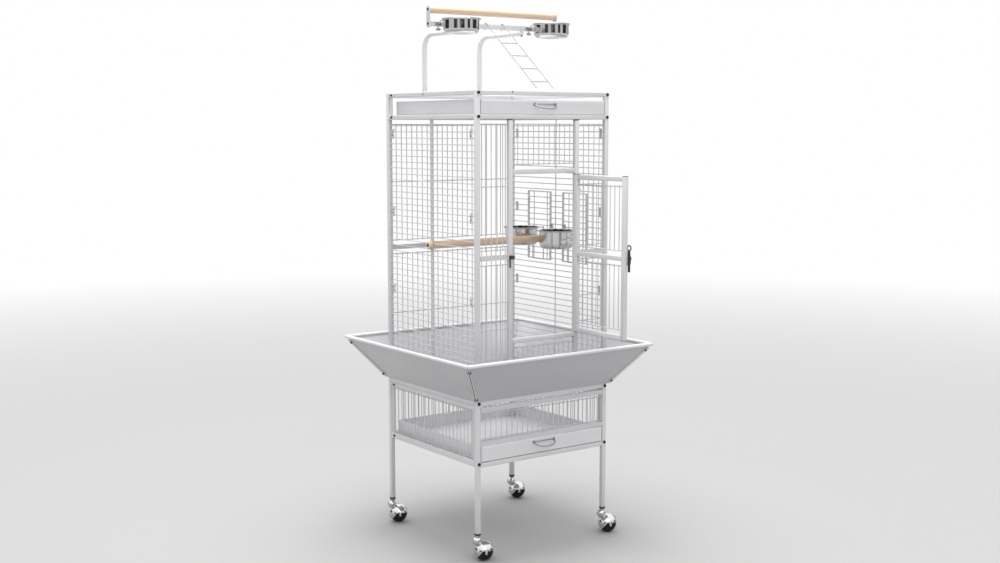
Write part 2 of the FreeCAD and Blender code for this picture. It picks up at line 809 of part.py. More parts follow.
def bowl(x, y, rim_z, height):
    """A steel bowl with a flat lip, turned from one outline."""
    r = bowl_rim / 2
    body = r - bowl_lip
    foot = body * 0.82
    round_off = height * 0.3
    z0 = rim_z - height
    t = bowl_wall
    outside = [
        line((0, 0, z0), (foot, 0, z0)),
        arc(
            (foot, 0, z0),
            (foot + (body - foot) * 0.72, 0, z0 + round_off * 0.3),
            (body, 0, z0 + round_off),
        ),
        line((body, 0, z0 + round_off), (body, 0, rim_z - t)),
        line((body, 0, rim_z - t), (r, 0, rim_z - t)),
        line((r, 0, rim_z - t), (r, 0, rim_z)),
        line((r, 0, rim_z), (body - t, 0, rim_z)),
        line((body - t, 0, rim_z), (body - t, 0, z0 + round_off)),
        arc(
            (body - t, 0, z0 + round_off),
            (foot + (body - foot) * 0.72 - t, 0, z0 + round_off * 0.3 + t),
            (foot - t, 0, z0 + t),
        ),
        line((foot - t, 0, z0 + t), (0, 0, z0 + t)),
        line((0, 0, z0 + t), (0, 0, z0)),
    ]
    profile = Part.Face(Part.Wire(outside))
    dish = profile.revolve(Vec(0, 0, 0), UP, 360)
    dish.translate(Vec(x, y, 0))
    return dish


def ring(x, y, rim_z):
    """The wire ring that a bowl's lip rests on."""
    level = rim_z - bowl_wall - clearance - ring_rod / 2
    radius = bowl_rim / 2 - bowl_lip + clearance + ring_rod / 2
    return Part.makeTorus(radius, ring_rod / 2, Vec(x, y, level)), level, radius


def play_bowl_places():
    """Middles of the two play-top bowls."""
    y = play_bar_y - play_bowl_gap - bowl_rim / 2
    end = play_bar_length / 2
    clamps = (play_clamp_insets[0] - end, end - play_clamp_insets[1])
    return [(x + play_bowl_shift, y, x) for x in clamps]


def centred(size, x, y, z):
    """A box of the given width, depth and height about a point."""
    wide, deep, tall = size
    return block(x - wide / 2, x + wide / 2, y - deep / 2, y + deep / 2, z - tall / 2, z + tall / 2)


def play_bowls():
    """Bowls on the play top, each in a ring on an arm that is clamped to the flat bar."""
    holders = []
    bar_front = play_bar_y - play_bar_thickness / 2
    bar_middle = play_bar_bottom + play_bar_height / 2
    screw_y = bar_front - clamp_jaw[1] / 2
    for name, (x, y, clamp_x) in zip(("left", "right"), play_bowl_places()):
        save("play_bowl_" + name, bowl(x, y, play_bowl_rim_z, bowl_height))
        hoop, level, radius = ring(x, y, play_bowl_rim_z)
        across = hypot(clamp_x - x, screw_y - y)
        start_x = x + (clamp_x - x) / across * radius
        start_y = y + (screw_y - y) / across * radius
        arm = rod((start_x, start_y, level), (clamp_x, screw_y, bar_middle), ring_rod)
        jaw = centred(clamp_jaw, clamp_x, screw_y, bar_middle)
        top = bar_middle - clamp_jaw[2] / 2
        foot = top - clamp_screw_length
        screw = rod((clamp_x, screw_y, top), (clamp_x, screw_y, foot), clamp_screw)
        wing = centred(clamp_wing, clamp_x, screw_y, foot + clamp_wing[2] / 4)
        holders.append(joined([hoop, arm, jaw, screw, wing]))
    save("play_bowl_holders", holders)


def inner_bowls():
    """Bowls inside the right wall, each in a ring on two legs that stand on its opening's frame."""
    holders = []
    wall_x = half - (feeder_rod + ring_rod) / 2 + bite
    foot = feeder_bottom
    for name, sy in (("front", -1), ("back", 1)):
        y = sy * feeder_offset
        save("inner_bowl_" + name, bowl(inner_bowl_x, y, inner_bowl_rim_z, deep_bowl_height))
        hoop, level, radius = ring(inner_bowl_x, y, inner_bowl_rim_z)
        pieces = [hoop]
        run = (radius ** 2 - bowl_hanger_offset ** 2) ** 0.5
        sides_of_hanger = (y - bowl_hanger_offset, y + bowl_hanger_offset)
        for at in sides_of_hanger:
            pieces.append(rod((inner_bowl_x + run, at, level), (wall_x, at, level), ring_rod))
            pieces.append(rod((wall_x, at, level + ring_rod / 2), (wall_x, at, foot), ring_rod))
        y0, y1 = sides_of_hanger
        pieces.append(rod((wall_x, y0, foot), (wall_x, y1, foot), ring_rod))
        holders.append(joined(pieces))
    save("inner_bowl_holders", holders)


def perches():
    """The wooden perch inside the cage and the one over the play top."""
    strip_inside = -(half - wire / 2 + weld) + strip_thickness
    start = (strip_inside, 0, inner_perch_z)
    save("inner_perch", rod(start, (inner_perch_end, 0, inner_perch_z), inner_perch))
    reach = play_bar_length / 2 - bracket_sheet
    start = (-reach, play_bar_y, play_perch_z)
    save("play_perch", rod(start, (reach, play_bar_y, play_perch_z), play_perch))


def play_frame():
    """Two bent arms, the flat bar that they carry and its end brackets."""
    level = play_bar_bottom - arm_tube / 2
    front = play_bar_y - play_bar_thickness
    arms = []
    for sx in (-1, 1):
        x = sx * arm_span / 2
        bend_z = level - arm_bend
        turn = arm_bend * (1 - cos(radians(45)))
        path = [
            line((x, half, frame_top), (x, half, bend_z)),
            arc((x, half, bend_z), (x, half - turn, level - turn), (x, half - arm_bend, level)),
            line((x, half - arm_bend, level), (x, front, level)),
        ]
        arms.append(swept(path, arm_tube))
    save("play_arms", arms)
    reach = play_bar_length / 2 - bracket_sheet
    size = (2 * reach, play_bar_thickness, play_bar_height)
    save("play_bar", centred(size, 0, play_bar_y, play_bar_bottom + play_bar_height / 2))
    brackets = []
    for sx in (-1, 1):
        x0, x1 = sorted((sx * reach, sx * (reach + bracket_sheet)))
        w = bracket_width / 2
        top = bracket_top - w
        foot = play_bar_bottom - bracket_lap
        plate = block(x0, x1, play_bar_y - w, play_bar_y + w, foot, top)
        head = rod((x0, play_bar_y, top), (x1, play_bar_y, top), bracket_width)
        brackets.append(plate.fuse(head))
    save("perch_brackets", brackets)


def ladder_slope():
    """The direction down the ladder in Y and Z, and the length of its rails."""
    run = play_bar_y + half
    drop = play_bar_bottom + play_bar_height / 2 - frame_top - ladder_rod / 2 - clearance
    length = hypot(run, drop)
    return -run / length, -drop / length, length


def hook_point(x, angle):
    """A point on a ladder hook's middle line; at angle 0 the rail leaves it at a tangent."""
    corner = hypot(play_bar_thickness, play_bar_height) / 2
    hook = corner + ladder_hook_clearance + ladder_rod / 2
    down_y, down_z, _ = ladder_slope()
    c = cos(radians(angle))
    s = sin(radians(angle))
    y = play_bar_y + hook * (down_z * c - down_y * s)
    z = play_bar_bottom + play_bar_height / 2 - hook * (down_y * c + down_z * s)
    return (x, y, z)


def ladder():
    """A wire ladder that hooks over the flat bar and leans on the front top rail."""
    down_y, down_z, length = ladder_slope()
    reach = (ladder_width - ladder_rod) / 2
    _, top_y, top_z = hook_point(0, 0)
    pieces = []
    for x in (-reach, reach):
        start = hook_point(x, 0)
        end = (x, top_y + down_y * length, top_z + down_z * length)
        hook = arc(hook_point(x, ladder_hook_turn), hook_point(x, ladder_hook_turn / 2), start)
        pieces.append(swept([hook, line(start, end)], ladder_rod))
    for i in range(ladder_rungs):
        share = (ladder_first_rung + ladder_rung_step * i) * length
        y = top_y + down_y * share
        z = top_z + down_z * share
        pieces.append(rod((-reach, y, z), (reach, y, z), ladder_rung_rod))
    save("ladder", joined(pieces))


# ------------------------------------------------------------------ casters


def caster_pieces():
    """One caster under a leg at the origin, trailing along +X: collar, hood and wheel."""
    radius = wheel / 2
    gap = radius + hood_gap
    shell = gap + hood_sheet
    core = tube / 2 - tube_wall
    collar_foot = leg_bottom - collar_height
    flange = Part.makeCylinder(collar / 2, collar_height, Vec(0, 0, collar_foot))
    plug = block(-core, core, -core, core, leg_bottom, leg_bottom + stem_length + 10)
    bore = Part.makeCylinder(stem / 2 + fit, stem_length + 7, Vec(0, 0, collar_foot - 1))
    socket = flange.fuse(plug).cut(bore)

    centre = Vec(wheel_offset, 0, radius)
    ball = Part.makeSphere(radius, centre)
    slab = across_wheel(radius + 5, wheel_half_width)
    ball = ball.common(slab).cut(across_wheel(axle / 2 + fit, radius))

    neck_top = collar_foot - clearance
    foot = radius + neck_foot
    neck = Part.makeCylinder(neck_width / 2, neck_top - foot, Vec(0, 0, foot))
    washer_foot = Vec(0, 0, neck_top - washer_height)
    washer = Part.makeCylinder(neck_width / 2 + washer_lip, washer_height, washer_foot)
    pin = Part.makeCylinder(stem / 2, stem_length, Vec(0, 0, neck_top - 1))
    cap = Part.makeSphere(shell, centre)
    lump = Part.makeSphere(horn / 2, Vec(-horn_back, 0, collar_foot - horn_drop - horn / 2))
    room = shell * 4
    edge = centre + UP * hood_edge
    level = Part.makeBox(room, room, room, edge - Vec(room / 2, room / 2, room))
    below = level.common(turned(level, -hood_tilt, edge, Vec(0, 1, 0)))
    cover = cap.fuse([lump, neck, washer, pin]).cut([Part.makeSphere(gap, centre), below])
    hubs = across_wheel(axle_hub / 2, shell).common(cap)
    hubs = hubs.cut(across_wheel(shell, wheel_half_width + hood_gap / 2))
    spindle = across_wheel(axle / 2, shell - 2)
    return socket, joined([cover, hubs, spindle]), ball


def across_wheel(r, reach):
    """A cylinder on the wheel's own axis, reaching the same distance to each side."""
    return rod((wheel_offset, -reach, wheel / 2), (wheel_offset, reach, wheel / 2), 2 * r)


def casters():
    """The four casters: collars in the legs, chrome hoods with stem and axle, and ball wheels."""
    collars = []
    socket, hood, ball = caster_pieces()
    for name, (sx, sy) in corners.items():
        place = Vec(sx * half, sy * half, 0)
        collars.append(socket.translated(place))
        save("caster_hood_" + name, turned(hood, caster_turn).translated(place))
        save("caster_wheel_" + name, turned(ball, caster_turn).translated(place))
    save("caster_collars", collars)


posts_and_legs()
rails()
fasteners()
wall_clips()
walls()
front_wall()
front_door()
door_latch()
latch_keeper()
feeder_doors()
seed_guard()
trays()
floor_grate()
stand_grilles()
play_bowls()
inner_bowls()
perches()
play_frame()
ladder()
casters()
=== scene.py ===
"""The looks of a walk-up bird cage on a rolling stand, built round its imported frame."""

import json
import logging
import math
from collections.abc import Callable, Iterable, Sequence
from dataclasses import dataclass, field
from enum import Enum

import bmesh
import bpy
from mathutils import Matrix, Vector


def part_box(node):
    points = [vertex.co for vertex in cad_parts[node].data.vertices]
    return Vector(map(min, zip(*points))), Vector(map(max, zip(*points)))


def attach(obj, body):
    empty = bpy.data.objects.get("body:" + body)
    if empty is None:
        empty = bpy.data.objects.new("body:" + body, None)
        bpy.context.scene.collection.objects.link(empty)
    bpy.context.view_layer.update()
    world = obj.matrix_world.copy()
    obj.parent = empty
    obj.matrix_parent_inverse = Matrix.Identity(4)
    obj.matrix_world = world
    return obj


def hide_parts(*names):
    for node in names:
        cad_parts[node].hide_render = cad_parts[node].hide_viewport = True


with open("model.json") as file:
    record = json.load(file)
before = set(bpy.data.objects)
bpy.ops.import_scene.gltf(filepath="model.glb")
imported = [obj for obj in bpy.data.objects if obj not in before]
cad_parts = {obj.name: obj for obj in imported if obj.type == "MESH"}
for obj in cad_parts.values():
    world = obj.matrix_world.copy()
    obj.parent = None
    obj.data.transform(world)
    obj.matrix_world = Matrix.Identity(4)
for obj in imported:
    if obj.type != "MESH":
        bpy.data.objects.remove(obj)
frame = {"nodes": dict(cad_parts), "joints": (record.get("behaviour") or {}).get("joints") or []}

LOG = logging.getLogger("bird_cage")
MM = 0.001
UP = Vector((0, 0, 1))

Point = tuple[float, float, float]
Place = Sequence[float]
Socket = bpy.types.NodeSocket
Colour = tuple[float, float, float]
Outline = list[tuple[float, float]]


class Axis(Enum):
    """The way a straight piece runs."""

    X = 0
    Y = 1
    Z = 2


class Side(Enum):
    """A side of the cage, with the quarter turns that take the front there."""

    FRONT = 0
    RIGHT = 1
    BACK = 2
    LEFT = 3

    def turn(self) -> Matrix:
        """The turn about the upright middle line that takes the front to this side."""
        return Matrix.Rotation(self.value * math.pi / 2, 4, "Z")


# ---------------------------------------------------------------- finishes


class Shader:
    """A material whose nodes are being wired."""

    def __init__(self, name: str) -> None:
        """Start a material with one principled shader.

        Args:
            name: The material's name.
        """
        self.material = bpy.data.materials.new(name)
        self.material.use_nodes = True
        self.tree = self.material.node_tree
        self.surface = self.tree.nodes["Principled BSDF"]
        self.place = self.add("ShaderNodeTexCoord").outputs["Object"]

    def add(self, kind: str, **values: object) -> bpy.types.Node:
        """Add a node.

        Args:
            kind: The node's type.
            values: Properties and input values, by name.

        Returns:
            The node.
        """
        node = self.tree.nodes.new(kind)
        for key, value in values.items():
            if hasattr(node, key):
                setattr(node, key, value)
            else:
                node.inputs[key.replace("_", " ")].default_value = value
        return node

    def link(self, source: Socket, target: Socket) -> None:
        """Join an output to an input."""
        self.tree.links.new(source, target)

    def stretched(self, scale: Point) -> Socket:
        """Object coordinates scaled along each axis.

        Args:
            scale: How much each axis is scaled.

        Returns:
            The scaled coordinates.
        """
        node = self.add("ShaderNodeMapping")
        node.inputs["Scale"].default_value = scale
        self.link(self.place, node.inputs["Vector"])
        return node.outputs["Vector"]

    def noise(
        self, scale: float, detail: float = 3.0, place: Socket | None = None
    ) -> Socket:
        """Cloudy noise.

        Args:
            scale: Blotches per metre, roughly.
            detail: How many finer layers it has.
            place: Coordinates, or None for the object's own.

        Returns:
            The noise value, about 0.5 on average.
        """
        node = self.add("ShaderNodeTexNoise", Scale=scale, Detail=detail, Roughness=0.55)
        self.link(place or self.place, node.inputs["Vector"])
        return node.outputs["Fac"]

    def between(
        self, value: Socket, low: float, high: float, start: float = 0.3, end: float = 0.7
    ) -> Socket:
        """Stretch a value from start and end to low and high.

        Args:
            value: The value to stretch.
            low: What start becomes.
            high: What end becomes.
            start: The value that becomes low.
            end: The value that becomes high.

        Returns:
            The stretched value, kept between low and high.
        """
        node = self.add("ShaderNodeMapRange")
        for key, number in zip(("From Min", "From Max", "To Min", "To Max"), (start, end, low, high)):
            node.inputs[key].default_value = number
        self.link(value, node.inputs["Value"])
        return node.outputs["Result"]

    def ramp(self, value: Socket, stops: Sequence[tuple[float, Colour]]) -> Socket:
        """Colours along a value.

        Args:
            value: The value to colour.
            stops: Places from 0 to 1 and their colours.

        Returns:
            The colour.
        """
        node = self.add("ShaderNodeValToRGB")
        band = node.color_ramp
        while len(band.elements) < len(stops):
            band.elements.new(0.5)
        for element, (place, colour) in zip(band.elements, stops):
            element.position = place
            element.color = (*colour, 1.0)
        self.link(value, node.inputs["Fac"])
        return node.outputs["Color"]

    def blend(
        self, share: Socket, first: Socket, second: Socket
    ) -> Socket:
        """Mix two colours by a share.

        Args:
            share: How much of the second there is, from 0 to 1.
            first: The first colour.
            second: The second colour.

        Returns:
            The mixed colour.
        """
        node = self.add("ShaderNodeMix", data_type="RGBA")
        self.link(share, node.inputs["Factor"])
        self.link(first, node.inputs["A"])
        self.link(second, node.inputs["B"])
        return node.outputs["Result"]

    def colour(self, socket: Socket) -> None:
        """Use a colour as the surface's colour."""
        self.link(socket, self.surface.inputs["Base Color"])

    def rough(self, socket: Socket) -> None:
        """Use a value as the surface's roughness."""
        self.link(socket, self.surface.inputs["Roughness"])

    def relief(self, heights: Sequence[tuple[Socket, float, float]]) -> None:
        """Raise the surface.

        Args:
            heights: Height value, strength and depth in metres of each layer, coarse first.
        """
        previous = None
        for height, strength, depth in heights:
            node = self.add("ShaderNodeBump", Strength=strength, Distance=depth)
            self.link(height, node.inputs["Height"])
            if previous is not None:
                self.link(previous, node.inputs["Normal"])
            previous = node.outputs["Normal"]
        self.link(previous, self.surface.inputs["Normal"])


def darker(colour: Colour, share: float) -> Colour:
    """A colour taken down by a share."""
    return tuple(part * share for part in colour)


@dataclass(frozen=True)
class Finish:
    """What a surface is made of: its slot in the record, its colour and its roughness."""

    name: str
    slot: str
    base: Colour
    roughness: float

    def dress(self, shader: Shader) -> None:
        """Wire the finish's own nodes."""
        raise NotImplementedError

    def material(self) -> bpy.types.Material:
        """The finish's material, made the first time it is asked for.

        Returns:
            The material, the same one every time.
        """
        found = bpy.data.materials.get(self.name)
        if found is not None:
            return found
        shader = Shader(self.name)
        self.dress(shader)
        shader.material.diffuse_color = (*self.base, 1.0)
        return shader.material


@dataclass(frozen=True)
class PowderCoat(Finish):
    """Sprayed and baked powder: satin, with a fine pebbled skin and a faintly uneven tone."""

    pebble: float = 620.0
    pebble_strength: float = 0.09
    wave: float = 0.0

    def dress(self, shader: Shader) -> None:
        """Wire tone, satin patches, pebbled skin and, on sheet, its slight waviness."""
        tone = shader.noise(7.0, 4.0)
        fleck = shader.noise(420.0, 2.0)
        broad = shader.ramp(tone, [(0.3, darker(self.base, 0.955)), (0.7, self.base)])
        fine = shader.ramp(tone, [(0.3, darker(self.base, 0.93)), (0.7, darker(self.base, 0.98))])
        shader.colour(shader.blend(shader.between(fleck, 0.0, 1.0, 0.52, 0.72), broad, fine))
        shader.rough(shader.between(shader.noise(26.0, 4.0), self.roughness - 0.06, self.roughness + 0.07))
        layers = [(shader.noise(self.pebble, 2.0), self.pebble_strength, 0.0004)]
        if self.wave > 0:
            layers.insert(0, (shader.noise(5.5, 1.0), self.wave, 0.004))
        shader.relief(layers)
        shader.surface.inputs["IOR"].default_value = 1.5
        shader.surface.inputs["Coat Weight"].default_value = 0.12
        shader.surface.inputs["Coat Roughness"].default_value = 0.22


@dataclass(frozen=True)
class DrawnWire(Finish):
    """Plated wire: metal with a soft sheen and fine lines along every axis from drawing."""

    scratch: float = 0.25

    def dress(self, shader: Shader) -> None:
        """Wire the plating's cloudy tone and its fine marks."""
        cloud = shader.noise(90.0, 4.0)
        shader.colour(shader.ramp(cloud, [(0.3, darker(self.base, 0.82)), (0.7, self.base)]))
        marks = shader.noise(900.0, 3.0)
        shader.rough(shader.between(marks, self.roughness - 0.07, self.roughness + 0.1))
        shader.relief([(marks, self.scratch, 0.0001)])
        shader.surface.inputs["Metallic"].default_value = 1.0


@dataclass(frozen=True)
class SpunSteel(Finish):
    """Stainless steel spun on a lathe: bright, with fine rings about the piece's own axis."""

    rings: float = 520.0

    def dress(self, shader: Shader) -> None:
        """Wire the rings, the faint smears and the few scratches of a used bowl."""
        wave = shader.add(
            "ShaderNodeTexWave", wave_type="RINGS", rings_direction="Z", Scale=self.rings, Distortion=0.6
        )
        shader.link(shader.place, wave.inputs["Vector"])
        ring = wave.outputs["Fac"]
        smear = shader.noise(38.0, 4.0)
        tone = shader.ramp(smear, [(0.25, darker(self.base, 0.9)), (0.75, self.base)])
        groove = shader.ramp(smear, [(0.25, darker(self.base, 0.8)), (0.75, darker(self.base, 0.93))])
        shader.colour(shader.blend(shader.between(ring, 0.0, 0.5, 0.0, 1.0), tone, groove))
        shader.rough(shader.between(smear, self.roughness - 0.05, self.roughness + 0.1))
        scratch = shader.noise(60.0, 5.0, shader.stretched((1.0, 14.0, 3.0)))
        shader.relief([(ring, 0.03, 0.0001), (scratch, 0.04, 0.0001)])
        shader.surface.inputs["Metallic"].default_value = 1.0


@dataclass(frozen=True)
class BrightPlate(Finish):
    """Bright plating over a pressed shell, with a slight ripple and finger marks."""

    def dress(self, shader: Shader) -> None:
        """Wire the ripple and the marks."""
        mark = shader.noise(55.0, 5.0)
        shader.colour(shader.ramp(mark, [(0.25, darker(self.base, 0.88)), (0.7, self.base)]))
        shader.rough(shader.between(mark, self.roughness, self.roughness + 0.12))
        shader.relief([(shader.noise(45.0, 2.0), 0.06, 0.0006)])
        shader.surface.inputs["Metallic"].default_value = 1.0


@dataclass(frozen=True)
class TurnedWood(Finish):
    """Pale turned wood, sanded and bare, its grain along the piece's own X axis."""

    dark: Colour = (0.5, 0.3, 0.17)

    def dress(self, shader: Shader) -> None:
        """Wire growth rings, long grain, pores and a fine sanded skin."""
        long = shader.stretched((0.35, 5.0, 5.0))
        wave = shader.add(
            "ShaderNodeTexWave", wave_type="RINGS", rings_direction="X", Scale=34.0, Distortion=5.5
        )
        wave.inputs["Detail"].default_value = 3.0
        wave.inputs["Detail Scale"].default_value = 0.9
        shader.link(shader.stretched((0.12, 1.0, 1.0)), wave.inputs["Vector"])
        grain = shader.noise(95.0, 6.0, long)
        pores = shader.noise(260.0, 2.0, shader.stretched((0.08, 3.0, 3.0)))
        light = shader.ramp(wave.outputs["Fac"], [(0.0, self.base), (1.0, darker(self.base, 0.84))])
        deep = shader.ramp(grain, [(0.3, self.dark), (0.7, darker(self.base, 0.86))])
        body = shader.blend(shader.between(grain, 0.34, 0.0, 0.34, 0.6), light, deep)
        speck = shader.ramp(pores, [(0.0, darker(self.dark, 0.7)), (1.0, self.dark)])
        shader.colour(shader.blend(shader.between(pores, 0.3, 0.0, 0.3, 0.4), body, speck))
        shader.rough(shader.between(grain, self.roughness + 0.08, self.roughness - 0.06))
        shader.relief([(grain, 0.16, 0.0004), (pores, 0.22, 0.0002)])


@dataclass(frozen=True)
class MouldedBlack(Finish):
    """Black moulded plastic or blackened steel with a fine spark-eroded skin."""

    metal: float = 0.0
    gloss: float = 0.5
    skin: float = 1100.0
    skin_strength: float = 0.16

    def dress(self, shader: Shader) -> None:
        """Wire the skin, a dusty tone and rubbed patches."""
        dust = shader.noise(35.0, 5.0)
        lifted = tuple(part * 1.8 + 0.006 for part in self.base)
        shader.colour(shader.ramp(dust, [(0.35, self.base), (0.75, lifted)]))
        shader.rough(shader.between(dust, self.roughness - 0.08, self.roughness + 0.14))
        shader.relief([(shader.noise(self.skin, 2.0), self.skin_strength, 0.0002)])
        shader.surface.inputs["Metallic"].default_value = self.metal
        shader.surface.inputs["Specular IOR Level"].default_value = self.gloss


@dataclass(frozen=True)
class StudioFloor(Finish):
    """Pale matt paper under the piece, with a barely uneven tone, that glows white far away."""

    near: float = 1.4
    far: float = 8.0

    def dress(self, shader: Shader) -> None:
        """Wire the paper's tone and tooth."""
        tone = shader.noise(0.7, 3.0)
        shader.colour(shader.ramp(tone, [(0.3, darker(self.base, 0.985)), (0.7, self.base)]))
        shader.rough(shader.between(tone, self.roughness - 0.03, self.roughness + 0.03))
        shader.relief([(shader.noise(260.0, 3.0), 0.05, 0.0004)])
        span = shader.add("ShaderNodeVectorMath", operation="LENGTH")
        shader.link(shader.place, span.inputs[0])
        away = shader.between(span.outputs["Value"], 0.0, 1.0, self.near, self.far)
        glow = shader.add("ShaderNodeEmission", Strength=1.0)
        both = shader.add("ShaderNodeMixShader")
        shader.link(away, both.inputs[0])
        shader.link(shader.surface.outputs[0], both.inputs[1])
        shader.link(glow.outputs[0], both.inputs[2])
        shader.link(both.outputs[0], shader.tree.nodes["Material Output"].inputs["Surface"])


FRAME_WHITE = PowderCoat("frame_powder_white", "frame_white", (0.6, 0.6, 0.615), 0.42)
WIRE_WHITE = PowderCoat("wire_powder_white", "wire_white", (0.55, 0.55, 0.565), 0.4, pebble=900.0)
# The guard's white is set darker than the frame's as painted shade, standing in for the shade on the sheets'
# downward-facing outsides.
GUARD_WHITE_PAINTED_SHADE = PowderCoat("guard_powder_white_painted_shade", "guard_sheet", (0.47, 0.47, 0.485), 0.36, wave=0.25)
TRIM_WHITE = PowderCoat("trim_powder_white", "guard_trim", (0.66, 0.66, 0.675), 0.38)
TRAY_WHITE = PowderCoat("tray_powder_white", "tray_sheet", (0.68, 0.68, 0.695), 0.38, wave=0.16)
HANDLE_STEEL = DrawnWire("handle_satin_wire", "handle_steel", (0.38, 0.38, 0.39), 0.34)
LADDER_GREY = PowderCoat("ladder_grey_coat", "ladder_wire", (0.3, 0.3, 0.31), 0.4, pebble=900.0)
HOLDER_STEEL = DrawnWire("holder_zinc_wire", "holder_steel", (0.56, 0.56, 0.58), 0.28)
BOWL_STEEL = SpunSteel("bowl_spun_steel", "bowl_steel", (0.58, 0.575, 0.565), 0.09)
HOOD_CHROME = BrightPlate("hood_bright_plate", "caster_chrome", (0.62, 0.62, 0.64), 0.07)
PERCH_WOOD = TurnedWood("perch_turned_wood", "perch_wood", (0.74, 0.56, 0.41), 0.5)
BOLT_BLACK = MouldedBlack("bolt_blackened_steel", "bolt_black", (0.022, 0.022, 0.024), 0.34, metal=0.6)
LATCH_BLACK = MouldedBlack("latch_black_coat", "latch_black", (0.02, 0.02, 0.022), 0.4, skin=800.0)
WHEEL_BLACK = MouldedBlack(
    "wheel_gloss_black", "wheel_black", (0.006, 0.006, 0.007), 0.3, gloss=0.25, skin_strength=0.05
)
COLLAR_BLACK = MouldedBlack("collar_matt_black", "collar_black", (0.022, 0.022, 0.024), 0.48)
FLOOR_PAPER = StudioFloor("studio_paper", "", (0.36, 0.36, 0.36), 0.85)


# ---------------------------------------------------------------- drawing


def rounded(width: float, height: float, radius: float, steps: int = 4) -> Outline:
    """A rectangle about the origin with rounded corners.

    Args:
        width: Its size along the first direction.
        height: Its size along the second direction.
        radius: The corners' radius.
        steps: Spans in each corner.

    Returns:
        Its points, anticlockwise.
    """
    points = []
    for quarter, (sx, sy) in enumerate(((1, 1), (-1, 1), (-1, -1), (1, -1))):
        centre = (sx * (width / 2 - radius), sy * (height / 2 - radius))
        for step in range(steps + 1):
            angle = (quarter + step / steps) * math.pi / 2
            points.append((centre[0] + radius * math.cos(angle), centre[1] + radius * math.sin(angle)))
    return points


def circle(diameter: float, sides: int = 24, flats: int = 0) -> Outline:
    """A circle about the origin, or a regular polygon of that many flats with extra points on them.

    Args:
        diameter: Its diameter, across the flats if it has any.
        sides: How many points it has.
        flats: The number of flats, or 0 for a circle.

    Returns:
        Its points, anticlockwise.
    """
    points = []
    for i in range(sides):
        angle = 2 * math.pi * i / sides
        reach = diameter / 2
        if flats:
            span = 2 * math.pi / flats
            reach /= math.cos((angle % span) - span / 2)
        points.append((reach * math.cos(angle), reach * math.sin(angle)))
    return points


def placed(origin: Place, along: Place, across: Place | None = None) -> Matrix:
    """A place for a flat outline.

    Args:
        origin: Where the outline's own origin goes.
        along: The way its extrusion runs.
        across: The way its first direction runs, or None for any.

    Returns:
        The matrix that takes the outline there.
    """
    z = Vector(along).normalized()
    x = Vector(across) if across is not None else (UP if abs(z.z) < 0.9 else Vector((1, 0, 0)))
    x = (x - z * x.dot(z)).normalized()
    place = Matrix((x, z.cross(x), z)).transposed().to_4x4()
    place.translation = Vector(origin)
    return place


def bend(centre: Place, start: Place, end: Place, steps: int = 10) -> list[Vector]:
    """Points of a turn about a centre from one arm to another, both taken from the centre.

    Args:
        centre: What the turn goes about.
        start: The arm that it starts at.
        end: The arm that it ends at.
        steps: Spans along it.

    Returns:
        Its points.
    """
    middle, a, b = Vector(centre), Vector(start), Vector(end)
    angle = a.angle(b)
    points = []
    for i in range(steps + 1):
        share = i / steps
        first = math.sin((1 - share) * angle) / math.sin(angle)
        second = math.sin(share * angle) / math.sin(angle)
        points.append(middle + a * first + b * second)
    return points


